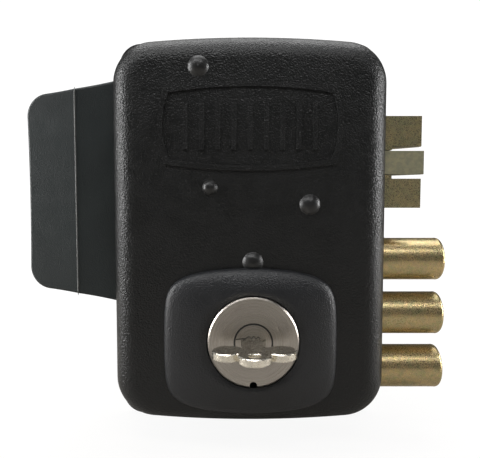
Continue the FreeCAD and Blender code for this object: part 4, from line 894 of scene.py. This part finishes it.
@dataclass
class HandleAssembly(SubAssembly):
    """The pull handle on its hinge."""

    nylon: CoatFinish = CoatFinish(
        "handle_nylon", (0.0165, 0.0205, 0.021), 0.44, specular=0.32, cell=0.00042, soften=0.6, depth=0.00006,
        fleck=(0.07, 0.075, 0.07), fleck_share=0.35, rub=(0.08, 0.085, 0.08), rub_share=0.15)
    steel: Finish = Finish("pin_steel", (0.5, 0.5, 0.5), 0.3, 1.0)
    # Painted highlight: a grey ten times lighter than the nylon makes the ridge along the crease show as a
    # lit line.
    bead: Finish = Finish("painted_highlight_bead", (0.16, 0.165, 0.16), 0.3)
    bead_x: float = -65.2 * MM
    bead_y: float = -23.55 * MM
    bead_bow: float = 0.0
    bead_radius: float = 0.3 * MM
    bead_ends: tuple[float, float] = (-22.8 * MM, 55.6 * MM)

    def build(self) -> None:
        """Dress the handle and its hinge."""
        self.finishes = {
            "pull_handle": self.nylon,
            "hinge_pin": self.steel,
            "hinge_bracket_upper": self.steel,
            "hinge_bracket_lower": self.steel,
            "handle_spring": self.steel,
        }
        self.dress()
        self.crease_bead()

    def crease_bead(self) -> None:
        """Add the slim bead along the crease of the paddle: a real ridge coloured light grey as a painted
        highlight.
        """
        low, high = self.bead_ends
        rows, around = 40, 10
        verts: list[Vector] = []
        for row in range(rows + 1):
            share = row / rows
            z = low + (high - low) * share
            x = self.bead_x + self.bead_bow * (1.0 - (2.0 * share - 1.0) ** 2)
            size = self.bead_radius * (1.0 if 0 < row < rows else 0.3)
            for step in range(around):
                turn = 2.0 * math.pi * step / around
                verts.append(Vector((x + size * math.cos(turn), self.bead_y + size * math.sin(turn), z)))
        faces: list[tuple[int, ...]] = [tuple(range(around)), tuple(range(rows * around,
                                                                          (rows + 1) * around))[::-1]]
        for row in range(rows):
            for step in range(around):
                after = (step + 1) % around
                a, b = row * around, (row + 1) * around
                faces.append((a + step, a + after, b + after, b + step)[::-1])
        bead = shown_mesh("crease_bead", verts, faces, self.bead)
        bead.data.polygons.foreach_set("use_smooth", [True] * len(faces))
        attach(bead, Body.HANDLE.value)


@dataclass
class ReleaseAssembly(SubAssembly):
    """The solenoid, its wiring and the catch lever."""

    steel: Finish = Finish("frame_steel", (0.48, 0.48, 0.47), 0.34, 1.0)
    copper: ZincFinish = ZincFinish(
        "coil_copper", (0.62, 0.24, 0.1), 0.3, 1.0,
        tints=((0.6, 0.24, 0.1), (0.5, 0.18, 0.07), (0.65, 0.3, 0.14)), strokes=(9000.0, 60.0, 60.0))
    plastic: Finish = Finish("white_plastic", (0.6, 0.6, 0.57), 0.45)
    lead: Finish = Finish("lead_red", (0.45, 0.02, 0.015), 0.45)

    def build(self) -> None:
        """Dress the release."""
        self.finishes = {
            "solenoid_frame": self.steel,
            "coil_bobbin": self.plastic,
            "coil_winding": self.copper,
            "plunger": self.steel,
            "plunger_spring": self.steel,
            "catch_lever": self.steel,
            "terminal_block": self.plastic,
            "terminal_screws": self.steel,
            "coil_leads": self.lead,
        }
        self.dress()
        WireSpring("plunger_spring", "plunger_return_spring", 5, 0.42 * MM, Body.CASE, "plunger_pull",
                   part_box("plunger_spring")[1].x, 4.1 * MM, self.steel).build()


@dataclass
class Studio:
    """The pale floor, the backdrop, the lamps and the camera."""

    floor_z: float = -77.7 * MM
    paper: Colour = (0.42, 0.4, 0.37)
    camera_place: Point = (-3.5 * MM, -212.49 * MM, 13.77 * MM)
    camera_tilt: float = 3.4
    lens: float = 37.5
    world_tone: float = 0.1

    def paper_finish(self, name: str, shadow: float) -> bpy.types.Material:
        """Paper that looks white to the camera.

        Args:
            name: The material's name.
            shadow: Share of the real shading that the camera sees near the lock.

        Returns:
            The material.
        """
        material = bpy.data.materials.new(name)
        material.use_nodes = True
        graph = Graph(material.node_tree)
        nodes = material.node_tree.nodes
        nodes.remove(nodes["Principled BSDF"])
        leave = nodes["Material Output"]
        path = graph.add("ShaderNodeLightPath")
        shaded = graph.add("ShaderNodeBsdfDiffuse")
        shaded.inputs["Color"].default_value = (*self.paper, 1.0)
        white = graph.add("ShaderNodeEmission")
        white.inputs["Strength"].default_value = 1.1
        seen = graph.add("ShaderNodeMixShader")
        spot = graph.add("ShaderNodeVectorMath", operation="LENGTH")
        graph.link(graph.add("ShaderNodeNewGeometry").outputs["Position"], spot.inputs[0])
        share = graph.spread(spot.outputs["Value"], 0.08, 0.26, 1.0 - shadow, 1.0)
        graph.link(graph.math("MULTIPLY", path.outputs["Is Camera Ray"], share), seen.inputs[0])
        graph.link(shaded.outputs[0], seen.inputs[1])
        graph.link(white.outputs[0], seen.inputs[2])
        graph.link(seen.outputs[0], leave.inputs["Surface"])
        return material

    def build(self) -> None:
        """Set the floor, the backdrop, the lamps, the world and the camera."""
        self.place_paper()
        self.place_lamps()
        self.place_camera()
        LOG.info("finished the studio")

    def place_paper(self) -> None:
        """Lay the floor and hang the backdrop."""
        bpy.ops.mesh.primitive_plane_add(size=6.0, location=(0.0, 0.0, self.floor_z))
        floor = bpy.context.object
        floor.name = "studio_floor"
        floor.data.materials.append(self.paper_finish("floor_paper", 0.16))
        bpy.ops.mesh.primitive_plane_add(size=6.0, location=(0.0, 1.2, 0.0),
                                         rotation=(math.radians(90.0), 0.0, 0.0))
        backdrop = bpy.context.object
        backdrop.name = "studio_backdrop"
        backdrop.data.materials.append(self.paper_finish("backdrop_paper", 0.0))

    def lamp(self, name: str, place: Point, aim: Colour, size: tuple[float, float], power: float) -> None:
        """Hang one soft lamp.

        Args:
            name: The lamp's name.
            place: Where it hangs.
            aim: The point it faces.
            size: Its width and height.
            power: Its power in watts.
        """
        data = bpy.data.lights.new(name, "AREA")
        data.shape = "RECTANGLE"
        data.size, data.size_y = size
        data.energy = power
        lamp = bpy.data.objects.new(name, data)
        lamp.location = place
        lamp.rotation_euler = (Vector(aim) - Vector(place)).to_track_quat("-Z", "Y").to_euler()
        bpy.context.scene.collection.objects.link(lamp)

    def place_lamps(self) -> None:
        """Hang the lamps and set the world's tone."""
        middle = (0.0, -0.02, 0.0)
        self.lamp("left_lamp", (-0.55, -0.1, 0.08), middle, (0.14, 0.5), 3.6)
        self.lamp("right_lamp", (0.55, -0.06, 0.03), middle, (0.1, 0.5), 3.2)
        self.lamp("front_lamp", (-0.1, -0.34, 0.46), middle, (0.8, 0.09), 1.8)
        self.lamp("top_lamp", (0.0, 0.15, 0.8), (0.0, -0.1, 0.0), (0.9, 0.6), 6.0)
        world = bpy.data.worlds.new("studio_world")
        bpy.context.scene.world = world
        world.use_nodes = True
        graph = Graph(world.node_tree)
        sky = world.node_tree.nodes["Background"]
        path = graph.add("ShaderNodeLightPath")
        tone = (self.world_tone, self.world_tone, self.world_tone)
        graph.link(graph.blend(path.outputs["Is Camera Ray"], tone, (1.0, 1.0, 1.0)), sky.inputs["Color"])

    def place_camera(self) -> None:
        """Place the camera where the photo was taken."""
        data = bpy.data.cameras.new("photo_camera")
        data.lens = self.lens
        data.sensor_width = 36.0
        data.clip_start = 0.005
        camera = bpy.data.objects.new("photo_camera", data)
        camera.location = self.camera_place
        camera.rotation_euler = (math.radians(90.0 - self.camera_tilt), 0.0, 0.0)
        bpy.context.scene.collection.objects.link(camera)
        bpy.context.scene.camera = camera
        bpy.context.scene.view_settings.view_transform = "Standard"


def main() -> None:
    """Build every sub-assembly and the studio in order."""
    logging.basicConfig(level=logging.INFO, format="%(name)s: %(message)s")
    parts = (
        CaseAssembly("case"),
        CylinderAssembly("cylinder"),
        BoltAssembly("bolts"),
        LatchAssembly("latch"),
        HandleAssembly("handle"),
        ReleaseAssembly("release"),
    )
    for part in parts:
        part.build()
        LOG.info("built the %s assembly", part.title)
    Studio().build()


if __name__ == "__main__":
    main()
